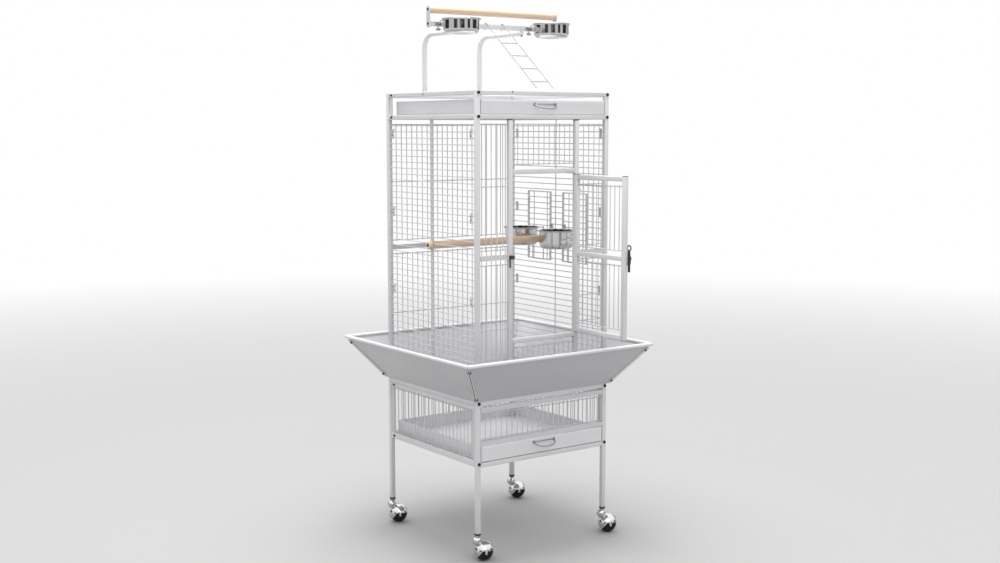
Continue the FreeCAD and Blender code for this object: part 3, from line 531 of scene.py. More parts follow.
class Draft:
    """The points and faces of one piece while it is drawn, in millimetres."""

    def __init__(self) -> None:
        """Start empty."""
        self.points: list[Vector] = []
        self.faces: list[list[int]] = []

    def skin(self, rings: Sequence[Sequence[Vector]], closed: bool = False) -> None:
        """Cover a row of rings.

        Args:
            rings: Rings with equal numbers of points.
            closed: Whether the last ring joins the first, instead of both being capped.
        """
        first, size, count = len(self.points), len(rings[0]), len(rings)
        for ring in rings:
            self.points.extend(Vector(point) for point in ring)
        for i in range(count if closed else count - 1):
            a = first + i * size
            b = first + (i + 1) % count * size
            for j in range(size):
                k = (j + 1) % size
                self.faces.append([a + j, a + k, b + k, b + j])
        if not closed:
            last = first + (count - 1) * size
            self.faces.append(list(range(first + size - 1, first - 1, -1)))
            self.faces.append(list(range(last, last + size)))

    def prism(self, outline: Outline, place: Matrix, length: float, edge: float = 0.5) -> None:
        """Extrude an outline with softened ends.

        Args:
            outline: Its points about its own origin.
            place: Where it starts and which way it runs.
            length: How far it runs.
            edge: How much its two end edges are rounded off.
        """
        wide = max(abs(u) for u, _ in outline)
        tall = max(abs(v) for _, v in outline)
        edge = min(edge, length / 3, wide / 2, tall / 2)
        steps = [(0.0, 1.0), (0.3, 0.3), (1.0, 0.0)]
        levels = [(share * edge, inset * edge) for share, inset in steps]
        levels += [(length - rise, inset) for rise, inset in reversed(levels)]
        rings = []
        for rise, inset in levels:
            su, sv = (wide - inset) / wide, (tall - inset) / tall
            rings.append([place @ Vector((u * su, v * sv, rise)) for u, v in outline])
        self.skin(rings)

    def bar(self, low: Place, high: Place, axis: Axis, radius: float = 2.2) -> None:
        """A square bar or plate between two corners of its box, its long edges rounded.

        Args:
            low: The box's lowest corner.
            high: Its highest corner.
            axis: The way it runs.
            radius: The radius of its long edges.
        """
        size = [b - a for a, b in zip(low, high)]
        u, v = [(1, 2), (2, 0), (0, 1)][axis.value]
        origin = [(a + b) / 2 for a, b in zip(low, high)]
        origin[axis.value] = low[axis.value]
        along = [1.0 if i == axis.value else 0.0 for i in range(3)]
        across = [1.0 if i == u else 0.0 for i in range(3)]
        radius = min(radius, size[u] / 2.01, size[v] / 2.01)
        self.prism(rounded(size[u], size[v], radius), placed(origin, along, across), size[axis.value])

    def sweep(self, path: Sequence[Place], diameter: float, sides: int = 12) -> None:
        """A round rod along a path, with domed ends.

        Args:
            path: Points along its middle.
            diameter: The rod's diameter.
            sides: Points about it.
        """
        points = [Vector(point) for point in path]
        ways = []
        for i in range(len(points)):
            before, after = points[max(i - 1, 0)], points[min(i + 1, len(points) - 1)]
            ways.append((after - before).normalized())
        across = placed(points[0], ways[0]).col[0].to_3d()
        radius = diameter / 2
        rings = []
        for i, (point, way) in enumerate(zip(points, ways)):
            across = (across - way * across.dot(way)).normalized()
            other = way.cross(across)
            stations = [(0.0, 1.0)]
            if i == 0:
                stations = [(-0.01, 0.35), (0.12, 0.8), (0.4, 1.0)]
            if i == len(points) - 1:
                stations = [(-0.4, 1.0), (-0.12, 0.8), (0.01, 0.35)]
            for shift, share in stations:
                centre = point + way * shift * radius
                rings.append(
                    [
                        centre
                        + (across * math.cos(t) + other * math.sin(t)) * radius * share
                        for t in (2 * math.pi * j / sides for j in range(sides))
                    ]
                )
        self.skin(rings)

    def lathe(self, profile: Outline, place: Matrix, sides: int = 48, closed: bool = False) -> None:
        """Turn a profile about the local Z of its place.

        Args:
            profile: Radius and height of each point.
            place: The axis's place.
            sides: Points about the axis.
            closed: Whether the profile is a loop that stays off the axis.
        """
        rings = []
        for radius, height in profile:
            reach = max(radius, 0.05)
            turn = [2 * math.pi * j / sides for j in range(sides)]
            rings.append([place @ Vector((reach * math.cos(t), reach * math.sin(t), height)) for t in turn])
        self.skin(rings, closed)

    def add(self, other: "Draft", place: Matrix | None = None) -> None:
        """Take in another draft, moved by a matrix if one is given.

        Args:
            other: The draft to take in.
            place: The matrix that moves it, or None.
        """
        first = len(self.points)
        self.points += [place @ point if place else point.copy() for point in other.points]
        self.faces += [[first + i for i in face] for face in other.faces]

    def moved(self, place: Matrix) -> "Draft":
        """A copy moved by a matrix.

        Args:
            place: The matrix that moves it.

        Returns:
            The moved copy.
        """
        copy = Draft()
        copy.add(self, place)
        return copy

    def piece(
        self,
        name: str,
        finish: Finish,
        body: str,
        replaces: Iterable[str] = (),
        origin: Point = (0.0, 0.0, 0.0),
        crease: float = 38.0,
    ) -> bpy.types.Object:
        """Make the drawn piece.

        Args:
            name: The piece's name.
            finish: What it is made of.
            body: The moving body that it rides on.
            replaces: The frame's nodes that it stands for.
            origin: Its own origin, which its finish is laid out from.
            crease: Edges sharper than this angle stay sharp, in degrees.

        Returns:
            The piece.
        """
        start = Vector(origin)
        mesh = bpy.data.meshes.new(name)
        mesh.from_pydata([(point - start) * MM for point in self.points], [], self.faces)
        work = bmesh.new()
        work.from_mesh(mesh)
        bmesh.ops.recalc_face_normals(work, faces=work.faces)
        work.to_mesh(mesh)
        work.free()
        mesh.shade_smooth()
        mesh.set_sharp_from_angle(angle=math.radians(crease))
        mesh.materials.append(finish.material())
        piece = bpy.data.objects.new(name, mesh)
        bpy.context.scene.collection.objects.link(piece)
        piece.location = start * MM
        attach(piece, body)
        nodes = list(replaces)
        if nodes:
            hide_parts(*nodes)
        LOG.info("%s on %s: %d faces", name, body, len(mesh.polygons))
        return piece


def spaced(start: float, end: float, pitch: float) -> list[float]:
    """Even steps between two ends, close to the pitch, with the ends left out.

    Args:
        start: One end.
        end: The other end.
        pitch: The wanted distance from step to step.

    Returns:
        The places of the steps.
    """
    count = max(2, round((end - start) / pitch))
    return [start + (end - start) * i / count for i in range(1, count)]


def corner(node: str, high: bool) -> Vector:
    """The lowest or highest corner of a node, in millimetres."""
    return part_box(node)[1 if high else 0] / MM


def box(node: str) -> tuple[Vector, Vector]:
    """The lowest and the highest corner of a node, in millimetres."""
    return corner(node, False), corner(node, True)


def joint_place(name: str) -> Vector:
    """The place of a joint, in metres."""
    joint = next(joint for joint in frame["joints"] if joint["name"] == name)
    return Vector(joint["pos_m"])


def screw(head: float, height: float, place: Matrix) -> Draft:
    """A round screw head with a hexagon socket.

    Args:
        head: The head's diameter.
        height: How far it stands out.
        place: Where it sits; it stands out along the local Z.

    Returns:
        The screw head.
    """
    draft = Draft()
    socket = circle(head * 0.5, 36, 6)
    shape = [(head / 2, -0.3), (head / 2, height * 0.72), (head / 2 - height * 0.18, height)]
    rings = [[place @ Vector((u, v, rise)) for u, v in circle(2 * reach, 36)] for reach, rise in shape]
    rings.append([place @ Vector((u, v, height)) for u, v in socket])
    rings.append([place @ Vector((u, v, height * 0.35)) for u, v in socket])
    draft.skin(rings)
    return draft


# ---------------------------------------------------------------- the cage


@dataclass
class Layout:
    """The frame's main planes, read from its nodes, in millimetres."""

    tube: float = 15.0
    outer: float = field(init=False)
    frame_top: float = field(init=False)
    stand_top: float = field(init=False)
    deck_top: float = field(init=False)
    stand_floor: float = field(init=False)
    leg_foot: float = field(init=False)

    def __post_init__(self) -> None:
        """Read the planes."""
        high = corner("corner_posts", True)
        self.outer = high.x
        self.frame_top = high.z
        self.stand_top = corner("corner_posts", False).z
        self.deck_top = corner("cage_rails", True).z
        self.stand_floor = corner("stand_rails", False).z
        self.leg_foot = corner("legs", False).z

    @property
    def inner(self) -> float:
        """The inner face of the frame."""
        return self.outer - self.tube

    @property
    def half(self) -> float:
        """The middle line of a post."""
        return self.outer - self.tube / 2

    @property
    def base_top(self) -> float:
        """The top of the base rails."""
        return self.stand_top + self.tube

    @property
    def tray_deck(self) -> float:
        """The underside of the rails that carry the top tray."""
        return self.deck_top - self.tube

    def corners(self) -> list[tuple[str, int, int]]:
        """The four corners: name and the signs of X and Y."""
        return [
            ("front_left", -1, -1),
            ("front_right", 1, -1),
            ("back_left", -1, 1),
            ("back_right", 1, 1),
        ]

    def rail(self, low: float, height: float, side: Side) -> Draft:
        """A level tube between two posts, its underside at the given height, on one side.

        Args:
            low: The height of its underside.
            height: How tall it is.
            side: The side that it closes.

        Returns:
            The tube.
        """
        draft = Draft()
        draft.bar((-self.inner, -self.outer, low), (self.inner, -self.inner, low + height), Axis.X)
        return draft.moved(side.turn())


@dataclass
class TubeFrame:
    """Posts, legs and every level tube of the cage and its stand."""

    layout: Layout
    side_rail_lift: float = 2.0
    side_rail_height: float = 20.0
    plug_lip: float = 0.35
    plug_height: float = 3.0
    cap_inset: float = 1.6
    cap_rise: float = 0.6

    def build(self) -> None:
        """Build the posts, legs, rails, jambs and plugs."""
        lay = self.layout
        posts, legs, caps = Draft(), Draft(), Draft()
        for _, sx, sy in lay.corners():
            x0, y0 = sx * lay.half - lay.tube / 2, sy * lay.half - lay.tube / 2
            x1, y1 = x0 + lay.tube, y0 + lay.tube
            posts.bar((x0, y0, lay.stand_top), (x1, y1, lay.frame_top), Axis.Z)
            legs.bar((x0, y0, lay.leg_foot), (x1, y1, lay.stand_top), Axis.Z)
            inset = self.cap_inset
            caps.bar(
                (x0 + inset, y0 + inset, lay.frame_top - 1),
                (x1 - inset, y1 - inset, lay.frame_top + self.cap_rise),
                Axis.Z,
                1.2,
            )
        posts.piece("corner_post_tubes", FRAME_WHITE, "cage", ["corner_posts"])
        legs.piece("leg_tubes", FRAME_WHITE, "cage", ["legs"])
        caps.piece("post_caps", FRAME_WHITE, "cage")
        self.rails()
        self.door_frame()

    def rails(self) -> None:
        """Build the level tubes between the posts."""
        lay = self.layout
        top, middle, stand = Draft(), Draft(), Draft()
        for side in Side:
            top.add(lay.rail(lay.frame_top - lay.tube, lay.tube, side))
            middle.add(lay.rail(lay.tray_deck, lay.tube, side))
            middle.add(lay.rail(lay.stand_top, lay.tube, side))
            if side in (Side.FRONT, Side.BACK):
                stand.add(lay.rail(lay.stand_floor, lay.tube, side))
            else:
                stand.add(lay.rail(lay.stand_floor + self.side_rail_lift, self.side_rail_height, side))
            if side is not Side.FRONT:
                stand.add(lay.rail(lay.stand_top - lay.tube, lay.tube, side))
        top.piece("top_rail_tubes", FRAME_WHITE, "cage", ["top_rails"])
        middle.piece("cage_rail_tubes", FRAME_WHITE, "cage", ["cage_rails"])
        stand.piece("stand_rail_tubes", FRAME_WHITE, "cage", ["stand_rails"])

    def door_frame(self) -> None:
        """Build the jambs, header and sill round the door, and the plugs on the jambs."""
        lay = self.layout
        low, high = box("door_jambs")
        jambs, plugs = Draft(), Draft()
        for x0 in (low.x, high.x - lay.tube):
            jambs.bar((x0, -lay.outer, low.z), (x0 + lay.tube, -lay.inner, high.z), Axis.Z)
            lip = self.plug_lip
            plugs.bar(
                (x0 - lip, -lay.outer - lip, high.z - self.plug_height),
                (x0 + lay.tube + lip, -lay.inner + lip, high.z),
                Axis.Z,
            )
        jambs.piece("door_jamb_tubes", FRAME_WHITE, "cage", ["door_jambs"])
        plugs.piece("door_jamb_plugs", COLLAR_BLACK, "cage")
        cross = Draft()
        reach = high.x - lay.tube
        for top in (corner("door_cross_rails", True).z, corner("door_cross_rails", False).z + lay.tube):
            cross.bar((-reach, -lay.outer, top - lay.tube), (reach, -lay.inner, top), Axis.X)
        cross.piece("door_cross_tubes", FRAME_WHITE, "cage", ["door_cross_rails"])


@dataclass
class Fasteners:
    """Socket screws through the posts, small screws on the side rails and the wall clips."""

    layout: Layout
    head: float = 10.0
    head_height: float = 4.0
    washer: float = 12.6
    small_head: float = 8.0
    small_height: float = 3.2
    stop_gap: float = 20.0
    rail_screw_x: float = 128.0
    rail_screw_y: float = 34.0
    rail_screw_drop: float = 4.0
    side_rail_middle: float = 12.0
    clip_levels: tuple[float, ...] = (1342.0, 1083.0, 822.0)
    clip_size: tuple[float, float, float] = (12.0, 3.0, 34.0)
    clip_inset: float = 20.5
    clip_hook: float = 5.0

    def build(self) -> None:
        """Build the screws and the clips."""
        lay = self.layout
        side_rail = lay.stand_floor + self.side_rail_middle
        levels = [side_rail, lay.stand_top + lay.tube / 2, lay.tray_deck + lay.tube / 2]
        levels.append(lay.frame_top - lay.tube / 2)
        screws, washers = Draft(), Draft()
        for _, sx, sy in lay.corners():
            for z in levels:
                place = placed((sx * lay.half, sy * lay.outer, z), (0, sy, 0))
                washers.prism(circle(self.washer), place, 0.9, 0.3)
                screws.add(screw(self.head, self.head_height, place))
        levels[1] = lay.stand_top - lay.tube / 2
        for sx in (-1, 1):
            for z in levels:
                place = placed((sx * lay.outer, lay.inner - self.stop_gap, z), (sx, 0, 0))
                screws.add(screw(self.small_head, self.small_height, place))
        rail = lay.frame_top - self.rail_screw_drop
        screws.add(screw(4.6, 1.6, placed((-self.rail_screw_x, -lay.outer, rail), (0, -1, 0))))
        screws.add(screw(4.6, 1.6, placed((-lay.outer, self.rail_screw_y, rail - 3.0), (-1, 0, 0))))
        screws.piece("frame_screws", BOLT_BLACK, "cage", ["frame_bolts"])
        washers.piece("frame_washers", HOLDER_STEEL, "cage")
        self.clips()

    def clips(self) -> None:
        """Build the flat clips on the side walls' level bars, with their hooks and rivets."""
        lay = self.layout
        wide, thick, tall = self.clip_size
        face = corner("wall_clips", False).x
        plates, rivets = Draft(), Draft()
        for side in (Side.LEFT, Side.RIGHT):
            for sx in (-1, 1):
                for z in self.clip_levels:
                    middle = sx * (lay.inner - self.clip_inset)
                    plate, rivet = Draft(), Draft()
                    place = placed((middle, face + thick, z), (0, -1, 0), (0, 0, 1))
                    plate.prism(rounded(tall, wide, 3.0), place, thick, 0.6)
                    for rise in (-tall / 2 + 4.0, tall / 2 - 4.0):
                        hook = placed((middle, face + thick + self.clip_hook, z + rise), (0, -1, 0))
                        plate.prism(rounded(4.0, 6.0, 1.2), hook, self.clip_hook + 0.5, 0.5)
                    for rise in (-6.0, 6.0):
                        spot = placed((middle, face, z + rise), (0, -1, 0))
                        rivet.lathe([(2.6, -0.2), (2.4, 0.6), (1.5, 1.1), (0.0, 1.2)], spot, 16)
                    plates.add(plate, side.turn())
                    rivets.add(rivet, side.turn())
        plates.piece("wall_clip_plates", FRAME_WHITE, "cage", ["wall_clips"])
        rivets.piece("wall_clip_rivets", BOLT_BLACK, "cage")


@dataclass
class WireWalls:
    """The wire nodes of the frame, whose shapes are already right and only need their coat."""

    white: tuple[str, ...] = (
        "left_wall_grille",
        "right_wall_grille",
        "back_wall_grille",
        "ceiling_grille",
        "front_grille_left",
        "front_grille_right",
        "front_grille_top",
        "front_grille_bottom",
        "feeder_door_front",
        "feeder_door_back",
        "floor_grate",
        "stand_grille_left",
        "stand_grille_right",
        "stand_grille_back",
        "stand_grille_front",
    )
    coated: dict[str, Finish] = field(
        default_factory=lambda: {
            "runners_and_stops": FRAME_WHITE,
            "inner_bowl_holders": HOLDER_STEEL,
            "ladder": LADDER_GREY,
        }
    )

    def build(self) -> None:
        """Coat each node."""
        for node in self.white:
            self.coat(node, WIRE_WHITE)
        for node, finish in self.coated.items():
            self.coat(node, finish)

    def coat(self, node: str, finish: Finish) -> None:
        """Put a finish in every material slot of a node.

        Args:
            node: The node, which keeps its shape.
            finish: What it is made of.
        """
        mesh = frame["nodes"][node].data
        for index in range(len(mesh.materials)):
            mesh.materials[index] = finish.material()
        LOG.info("%s keeps its shape and takes %s", node, finish.name)


@dataclass
class FrontDoor:
    """The framed door, drawn shut and swung to where it rests, with its hinges and latch."""

    layout: Layout
    gap: float = 1.5
    head_gap: float = 5.0
    wire: float = 3.0
    cross_wire: float = 3.4
    weld: float = 0.3
    pitch: float = 21.0
    end_gap: float = 16.0
    hinge_pin: float = 5.0
    hinge_eye: float = 9.0
    eye_height: float = 12.0
    leaf: float = 3.0
    relief: float = 0.5
    hinge_inset: float = 60.0
    plate_height: float = 44.0
    plate_width: float = 28.0
    plate_thickness: float = 3.0
    lever_gap: float = 0.8
    lever_thickness: float = 3.0
    lever_width: float = 9.0
    lever_ring: float = 33.0

    def __post_init__(self) -> None:
        """Read the opening, the middle rail and the hinge line."""
        lay = self.layout
        self.reach = corner("door_jambs", True).x - lay.tube - self.gap
        self.sill = corner("door_cross_rails", False).z + lay.tube
        self.header = corner("door_cross_rails", True).z - lay.tube
        self.middle = corner("latch_plate", False).z + self.plate_height / 2 - lay.tube / 2
        self.hinge = joint_place("front_door_hinge") / MM
        turn = Matrix.Rotation(math.pi / 2, 4, "Z")
        there = Matrix.Translation((self.hinge.x, self.hinge.y, 0))
        self.swing = there @ turn @ there.inverted()

    def build(self) -> None:
        """Build the door's frame, wires, plugs, hinges and latch."""
        self.leaf_frame()
        self.wires()
        self.hinges()
        self.latch()
        self.keeper()

    def leaf_frame(self) -> None:
        """Build the door's square tubes and the plugs in their ends."""
        lay, frame_draft, plugs = self.layout, Draft(), Draft()
        z0, z1 = self.sill + self.head_gap, self.header - self.head_gap
        for x0 in (-self.reach, self.reach - lay.tube):
            frame_draft.bar((x0, -lay.outer, z0), (x0 + lay.tube, -lay.inner, z1), Axis.Z)
            for z in (z0 - 1.6, z1 - 0.6):
                foot = (x0 + 0.2, -lay.outer + 0.2, z)
                plugs.bar(foot, (x0 + lay.tube - 0.2, -lay.inner - 0.2, z + 2.2), Axis.Z)
        for z in (z0, self.middle, z1 - lay.tube):
            inside = self.reach - lay.tube
            frame_draft.bar((-inside, -lay.outer, z), (inside, -lay.inner, z + lay.tube), Axis.X)
        frame_draft.moved(self.swing).piece("door_tubes", FRAME_WHITE, "front_door", ["front_door"])
        plugs.moved(self.swing).piece("door_plugs", COLLAR_BLACK, "front_door")

    def wires(self) -> None:
        """Build the door's upright bars and the cross wires that they are welded to."""
        lay, wires = self.layout, Draft()
        z0, z1 = self.sill + self.head_gap + lay.tube, self.header - self.head_gap - lay.tube
        inside = self.reach - lay.tube
        front = -lay.half - (self.wire + self.cross_wire) / 2 + self.weld
        for low, high in ((z0, self.middle), (self.middle + lay.tube, z1)):
            levels = (low + self.end_gap, high - self.end_gap)
            for z in levels:
                wires.sweep([(-inside - 0.4, -lay.half, z), (inside + 0.4, -lay.half, z)], self.cross_wire)
            for x in spaced(-inside, inside, self.pitch):
                wires.sweep([(x, front, levels[0] - 3), (x, front, levels[1] + 3)], self.wire)
        wires.moved(self.swing).piece("door_wires", WIRE_WHITE, "front_door")

    def hinges(self) -> None:
        """Build the eyes and leaves on the door, and the knuckles and pins on the jamb."""
        lay = self.layout
        eyes, screws, pins = Draft(), Draft(), Draft()
        levels = (
            self.sill + self.hinge_inset,
            self.middle + (lay.tube - self.eye_height) / 2,
            self.header - self.hinge_inset,
        )
        face = -lay.outer - self.relief
        x0 = self.reach - lay.tube + 1
        bore, eye = self.hinge_pin / 2 + 0.05, self.hinge_eye / 2
        for z in levels:
            top = z + self.eye_height
            barrel = [(bore, 0.3), (eye - 0.6, 0.0), (eye, 0.6), (eye, self.eye_height - 0.6)]
            barrel += [(eye - 0.6, self.eye_height), (bore, self.eye_height - 0.3)]
            eyes.lathe(barrel, placed((self.hinge.x, self.hinge.y, z), UP), 32, closed=True)
            stop = self.hinge.x - bore - 0.9
            eyes.bar((x0, face - self.leaf, z), (stop, face, top), Axis.X, 1.0)
            eyes.bar((x0 + 1, face - self.relief, z + 1), (self.reach - 2, face + 1, top - 1), Axis.X, 0.2)
            spot = placed((x0 + 5.5, face - self.leaf, z + self.eye_height / 2), (0, -1, 0))
            screws.add(screw(5.0, 1.4, spot))
            foot = z - 0.3 - self.eye_height
            knuckle = [(0.0, 0.0), (eye - 0.6, 0.0), (eye, 0.6), (eye, self.eye_height - 0.4)]
            knuckle += [(eye - 0.4, self.eye_height), (self.hinge_pin / 2, self.eye_height)]
            pin_top = self.eye_height * 2 + 4
            knuckle += [(self.hinge_pin / 2, pin_top - 1.2), (1.6, pin_top - 0.3), (0.0, pin_top)]
            pins.lathe(knuckle, placed((self.hinge.x, self.hinge.y, foot), UP), 32)
            jamb = self.reach + self.gap + lay.tube
            pins.bar(
                (self.hinge.x, -lay.outer - self.leaf, foot),
                (jamb, -lay.outer, foot + self.eye_height),
                Axis.X,
                0.8,
            )
        eyes.moved(self.swing).piece("door_hinge_eyes", FRAME_WHITE, "front_door")
        screws.moved(self.swing).piece("door_hinge_screws", BOLT_BLACK, "front_door")
        pins.piece("jamb_hinge_knuckles", FRAME_WHITE, "cage", ["door_hinge_pins"])

    def latch(self) -> None:
        """Build the latch's plate, stud and screws, and its turning lever with a finger ring."""
        lay = self.layout
        edge, middle = -self.reach, self.middle + lay.tube / 2
        face = -lay.outer - self.plate_thickness
        plate, lever = Draft(), Draft()
        spot = placed((edge + 5.0, -lay.outer - self.relief, middle), (0, -1, 0), UP)
        plate.prism(rounded(self.plate_height, self.plate_width, 4.0), spot, 2.5, 0.6)
        inset = 21
        plate.bar(
            (edge + 1.5, -lay.outer - 1, middle - inset),
            (edge + 18, -lay.outer, middle + inset),
            Axis.Z,
            0.3,
        )
        stud = [(3.0, -1.0), (3.0, 5.0), (6.0, 5.0), (6.0, 6.9), (5.2, 7.8), (0.0, 8.0)]
        plate.lathe(stud, placed((edge, face, middle), (0, -1, 0)), 32)
        for rise in (-17.0, 17.0):
            plate.add(screw(6.0, 1.8, placed((edge + 13.0, face, middle + rise), (0, -1, 0))))
        plate.moved(self.swing).piece("latch_back_plate", LATCH_BLACK, "front_door", ["latch_plate"])

        back, thick, top = face - self.lever_gap, self.lever_thickness, middle + self.lever_ring
        ring = [(6.0, 0.6), (6.6, 0.0), (9.4, 0.0), (10.0, 0.6), (10.0, thick - 0.6)]
        ring += [(9.4, thick), (6.6, thick), (6.0, thick - 0.6)]
        lever.lathe(ring, placed((edge, back, top), (0, -1, 0)), 40, closed=True)
        for low, high in ((middle + 10.0, top - 7.0), (middle - 42.0, middle - 16.0)):
            place = placed((edge, back, (low + high) / 2), (0, -1, 0), UP)
            lever.prism(rounded(high - low, self.lever_width, 2.0), place, thick, 0.5)
        bore = 3.05
        hub = [(bore, 0.3), (6.9, 0.0), (6.9, thick), (bore, thick - 0.3)]
        lever.lathe(hub, placed((edge, back, middle), (0, -1, 0)), 40, closed=True)
        for low, high in ((4.5, 10.5), (-16.5, -4.5)):
            place = placed((edge, back, middle + (low + high) / 2), (0, -1, 0), UP)
            lever.prism(rounded(high - low, 14.0, 1.5), place, thick, 0.5)
        lever.moved(self.swing).piece("latch_turning_lever", LATCH_BLACK, "latch", ["latch_lever"])

    def keeper(self) -> None:
        """Build the hook on the left jamb that the lever turns behind."""
        low, high = box("latch_keeper")
        draft = Draft()
        middle = high.z - 6.0
        draft.bar((low.x, low.y + 3, middle - 6), (low.x + 5, high.y, middle + 6), Axis.Y, 1.2)
        draft.bar((low.x, low.y, middle - 6), (high.x, low.y + 3, middle + 6), Axis.X, 1.2)
        draft.bar((low.x, high.y - 3, low.z), (low.x + 5, high.y, middle - 5), Axis.Z, 1.2)
        draft.add(screw(4.4, 1.6, placed((low.x + 2.5, high.y - 3, low.z + 6), (0, -1, 0))))
        draft.piece("latch_keeper_hook", LATCH_BLACK, "cage", ["latch_keeper"])


@dataclass
class SeedGuard:
    """Four sloped sheets with rolled rims, joined at the corners by flanges bolted together."""

    layout: Layout
    sheet: float = 1.5
    rim: float = 12.0
    lap: float = 1.0
    hem: float = 7.0
    mitre: float = 1.0
    fin: float = 6.0
    fin_thickness: float = 4.6
    fin_seam: float = 2.4
    fin_foot: float = 1.5
    fin_bolt: float = 6.6

    def build(self) -> None:
        """Build the sheets, the rims and the corner flanges with their bolts."""
        lay = self.layout
        self.low = lay.base_top - self.lap
        self.high = corner("seed_guard_front", True).z - self.rim / 2
        self.near = lay.outer
        self.far = -corner("seed_guard_front", False).y - self.rim / 2
        for side in Side:
            name = side.name.lower()
            self.panel(side).piece("guard_sheet_" + name, GUARD_WHITE_PAINTED_SHADE, "cage", ["seed_guard_" + name])
            self.bead(side).piece("guard_rim_" + name, TRIM_WHITE, "cage")
        self.fins()

    def loft(self, section: Outline, side: Side) -> Draft:
        """Run a section along one side, mitred at both ends.

        Args:
            section: Distance from the cage's middle and height of each point.
            side: The side.

        Returns:
            The lofted piece.
        """
        draft = Draft()
        rings = []
        for share in (-1.0, -0.5, 0.0, 0.5, 1.0):
            rings.append([Vector((share * (d - self.mitre), -d, z)) for d, z in section])
        draft.skin(rings)
        return draft.moved(side.turn())

    def panel(self, side: Side) -> Draft:
        """One sloped sheet with the short upright hem that stands on the base rail.

        Args:
            side: The side that it is for.

        Returns:
            The sheet.
        """
        run, rise = self.far - self.near, self.high - self.low
        length = math.hypot(run, rise)
        away = (self.sheet * rise / length, -self.sheet * run / length)
        bend_at = (self.hem / rise) * run
        inside = [(self.near, self.low), (self.near + bend_at, self.low + self.hem), (self.far, self.high)]
        outside = [(d + away[0], z + away[1]) for d, z in reversed(inside)]
        outside[-1] = (self.near + self.sheet * 1.1, self.low)
        return self.loft(inside + outside, side)

    def bead(self, side: Side) -> Draft:
        """The rolled rim along the top of one sheet, with its tucked edge.

        Args:
            side: The side that it is for.

        Returns:
            The rim.
        """
        points = []
        for i in range(28):
            angle = 2 * math.pi * i / 28
            radius = self.rim / 2
            points.append((self.far + radius * math.cos(angle), self.high + radius * math.sin(angle)))
        return self.loft(points, side)

    def fins(self) -> None:
        """Build the two flanges along each corner, a black strip of painted shade in the gap between them,
        and the bolts that hold them together.
        """
        run = (self.far - self.near) / (self.high - self.low)
        start = self.near + self.sheet * 0.9
        foot, top = self.low + self.fin_foot, self.high - self.rim
        flanges, shade_strips, bolts = Draft(), Draft(), Draft()
        out = Vector((-1, -1, 0)).normalized()
        across = Vector((1, -1, 0)).normalized()
        for side in Side:
            draft = Draft()
            for way in (-1, 1):
                inside, outside = way * self.fin_seam / 2, way * self.fin_thickness / 2
                rings = []
                for z in (foot, foot + 1.2, top - 1.2, top):
                    tuck = 1.4 if z in (foot, top) else 0.0
                    near = (start + run * (z - self.low)) * math.sqrt(2)
                    far = near + self.fin * math.sqrt(2) - tuck
                    shape = [(near, inside), (far, inside), (far, outside - way * 0.4), (far - 0.4, outside)]
                    shape.append((near, outside))
                    rings.append([out * u + across * v + UP * z for u, v in shape])
                draft.skin(rings)
            flanges.add(draft, side.turn())
            # A black strip in the gap between the flanges: painted shade, standing in for the shadow in that
            # gap.
            shade_strip, rings, reach = Draft(), [], self.fin_seam / 2
            for z in (foot + 1.0, foot + 1.8, top - 1.8, top - 1.0):
                near = (start + run * (z - self.low)) * math.sqrt(2)
                far = near + self.fin * math.sqrt(2) - 0.5
                shape = [(near, -reach), (far, -reach), (far, reach), (near, reach)]
                rings.append([out * u + across * v + UP * z for u, v in shape])
            shade_strip.skin(rings)
            shade_strips.add(shade_strip, side.turn())
            for z in (foot + 9.0, top - 9.0):
                middle = out * ((start + run * (z - self.low)) * math.sqrt(2) + self.fin * 0.75) + UP * z
                for way in (-1, 1):
                    face = middle + across * way * self.fin_thickness / 2
                    bolts.add(screw(self.fin_bolt, 3.0, placed(face, across * way)), side.turn())
        flanges.piece("guard_corner_flanges", TRIM_WHITE, "cage", ["seed_guard_corners"])
        shade_strips.piece("guard_corner_shade_strips", COLLAR_BLACK, "cage")
        bolts.piece("guard_corner_bolts", BOLT_BLACK, "cage")


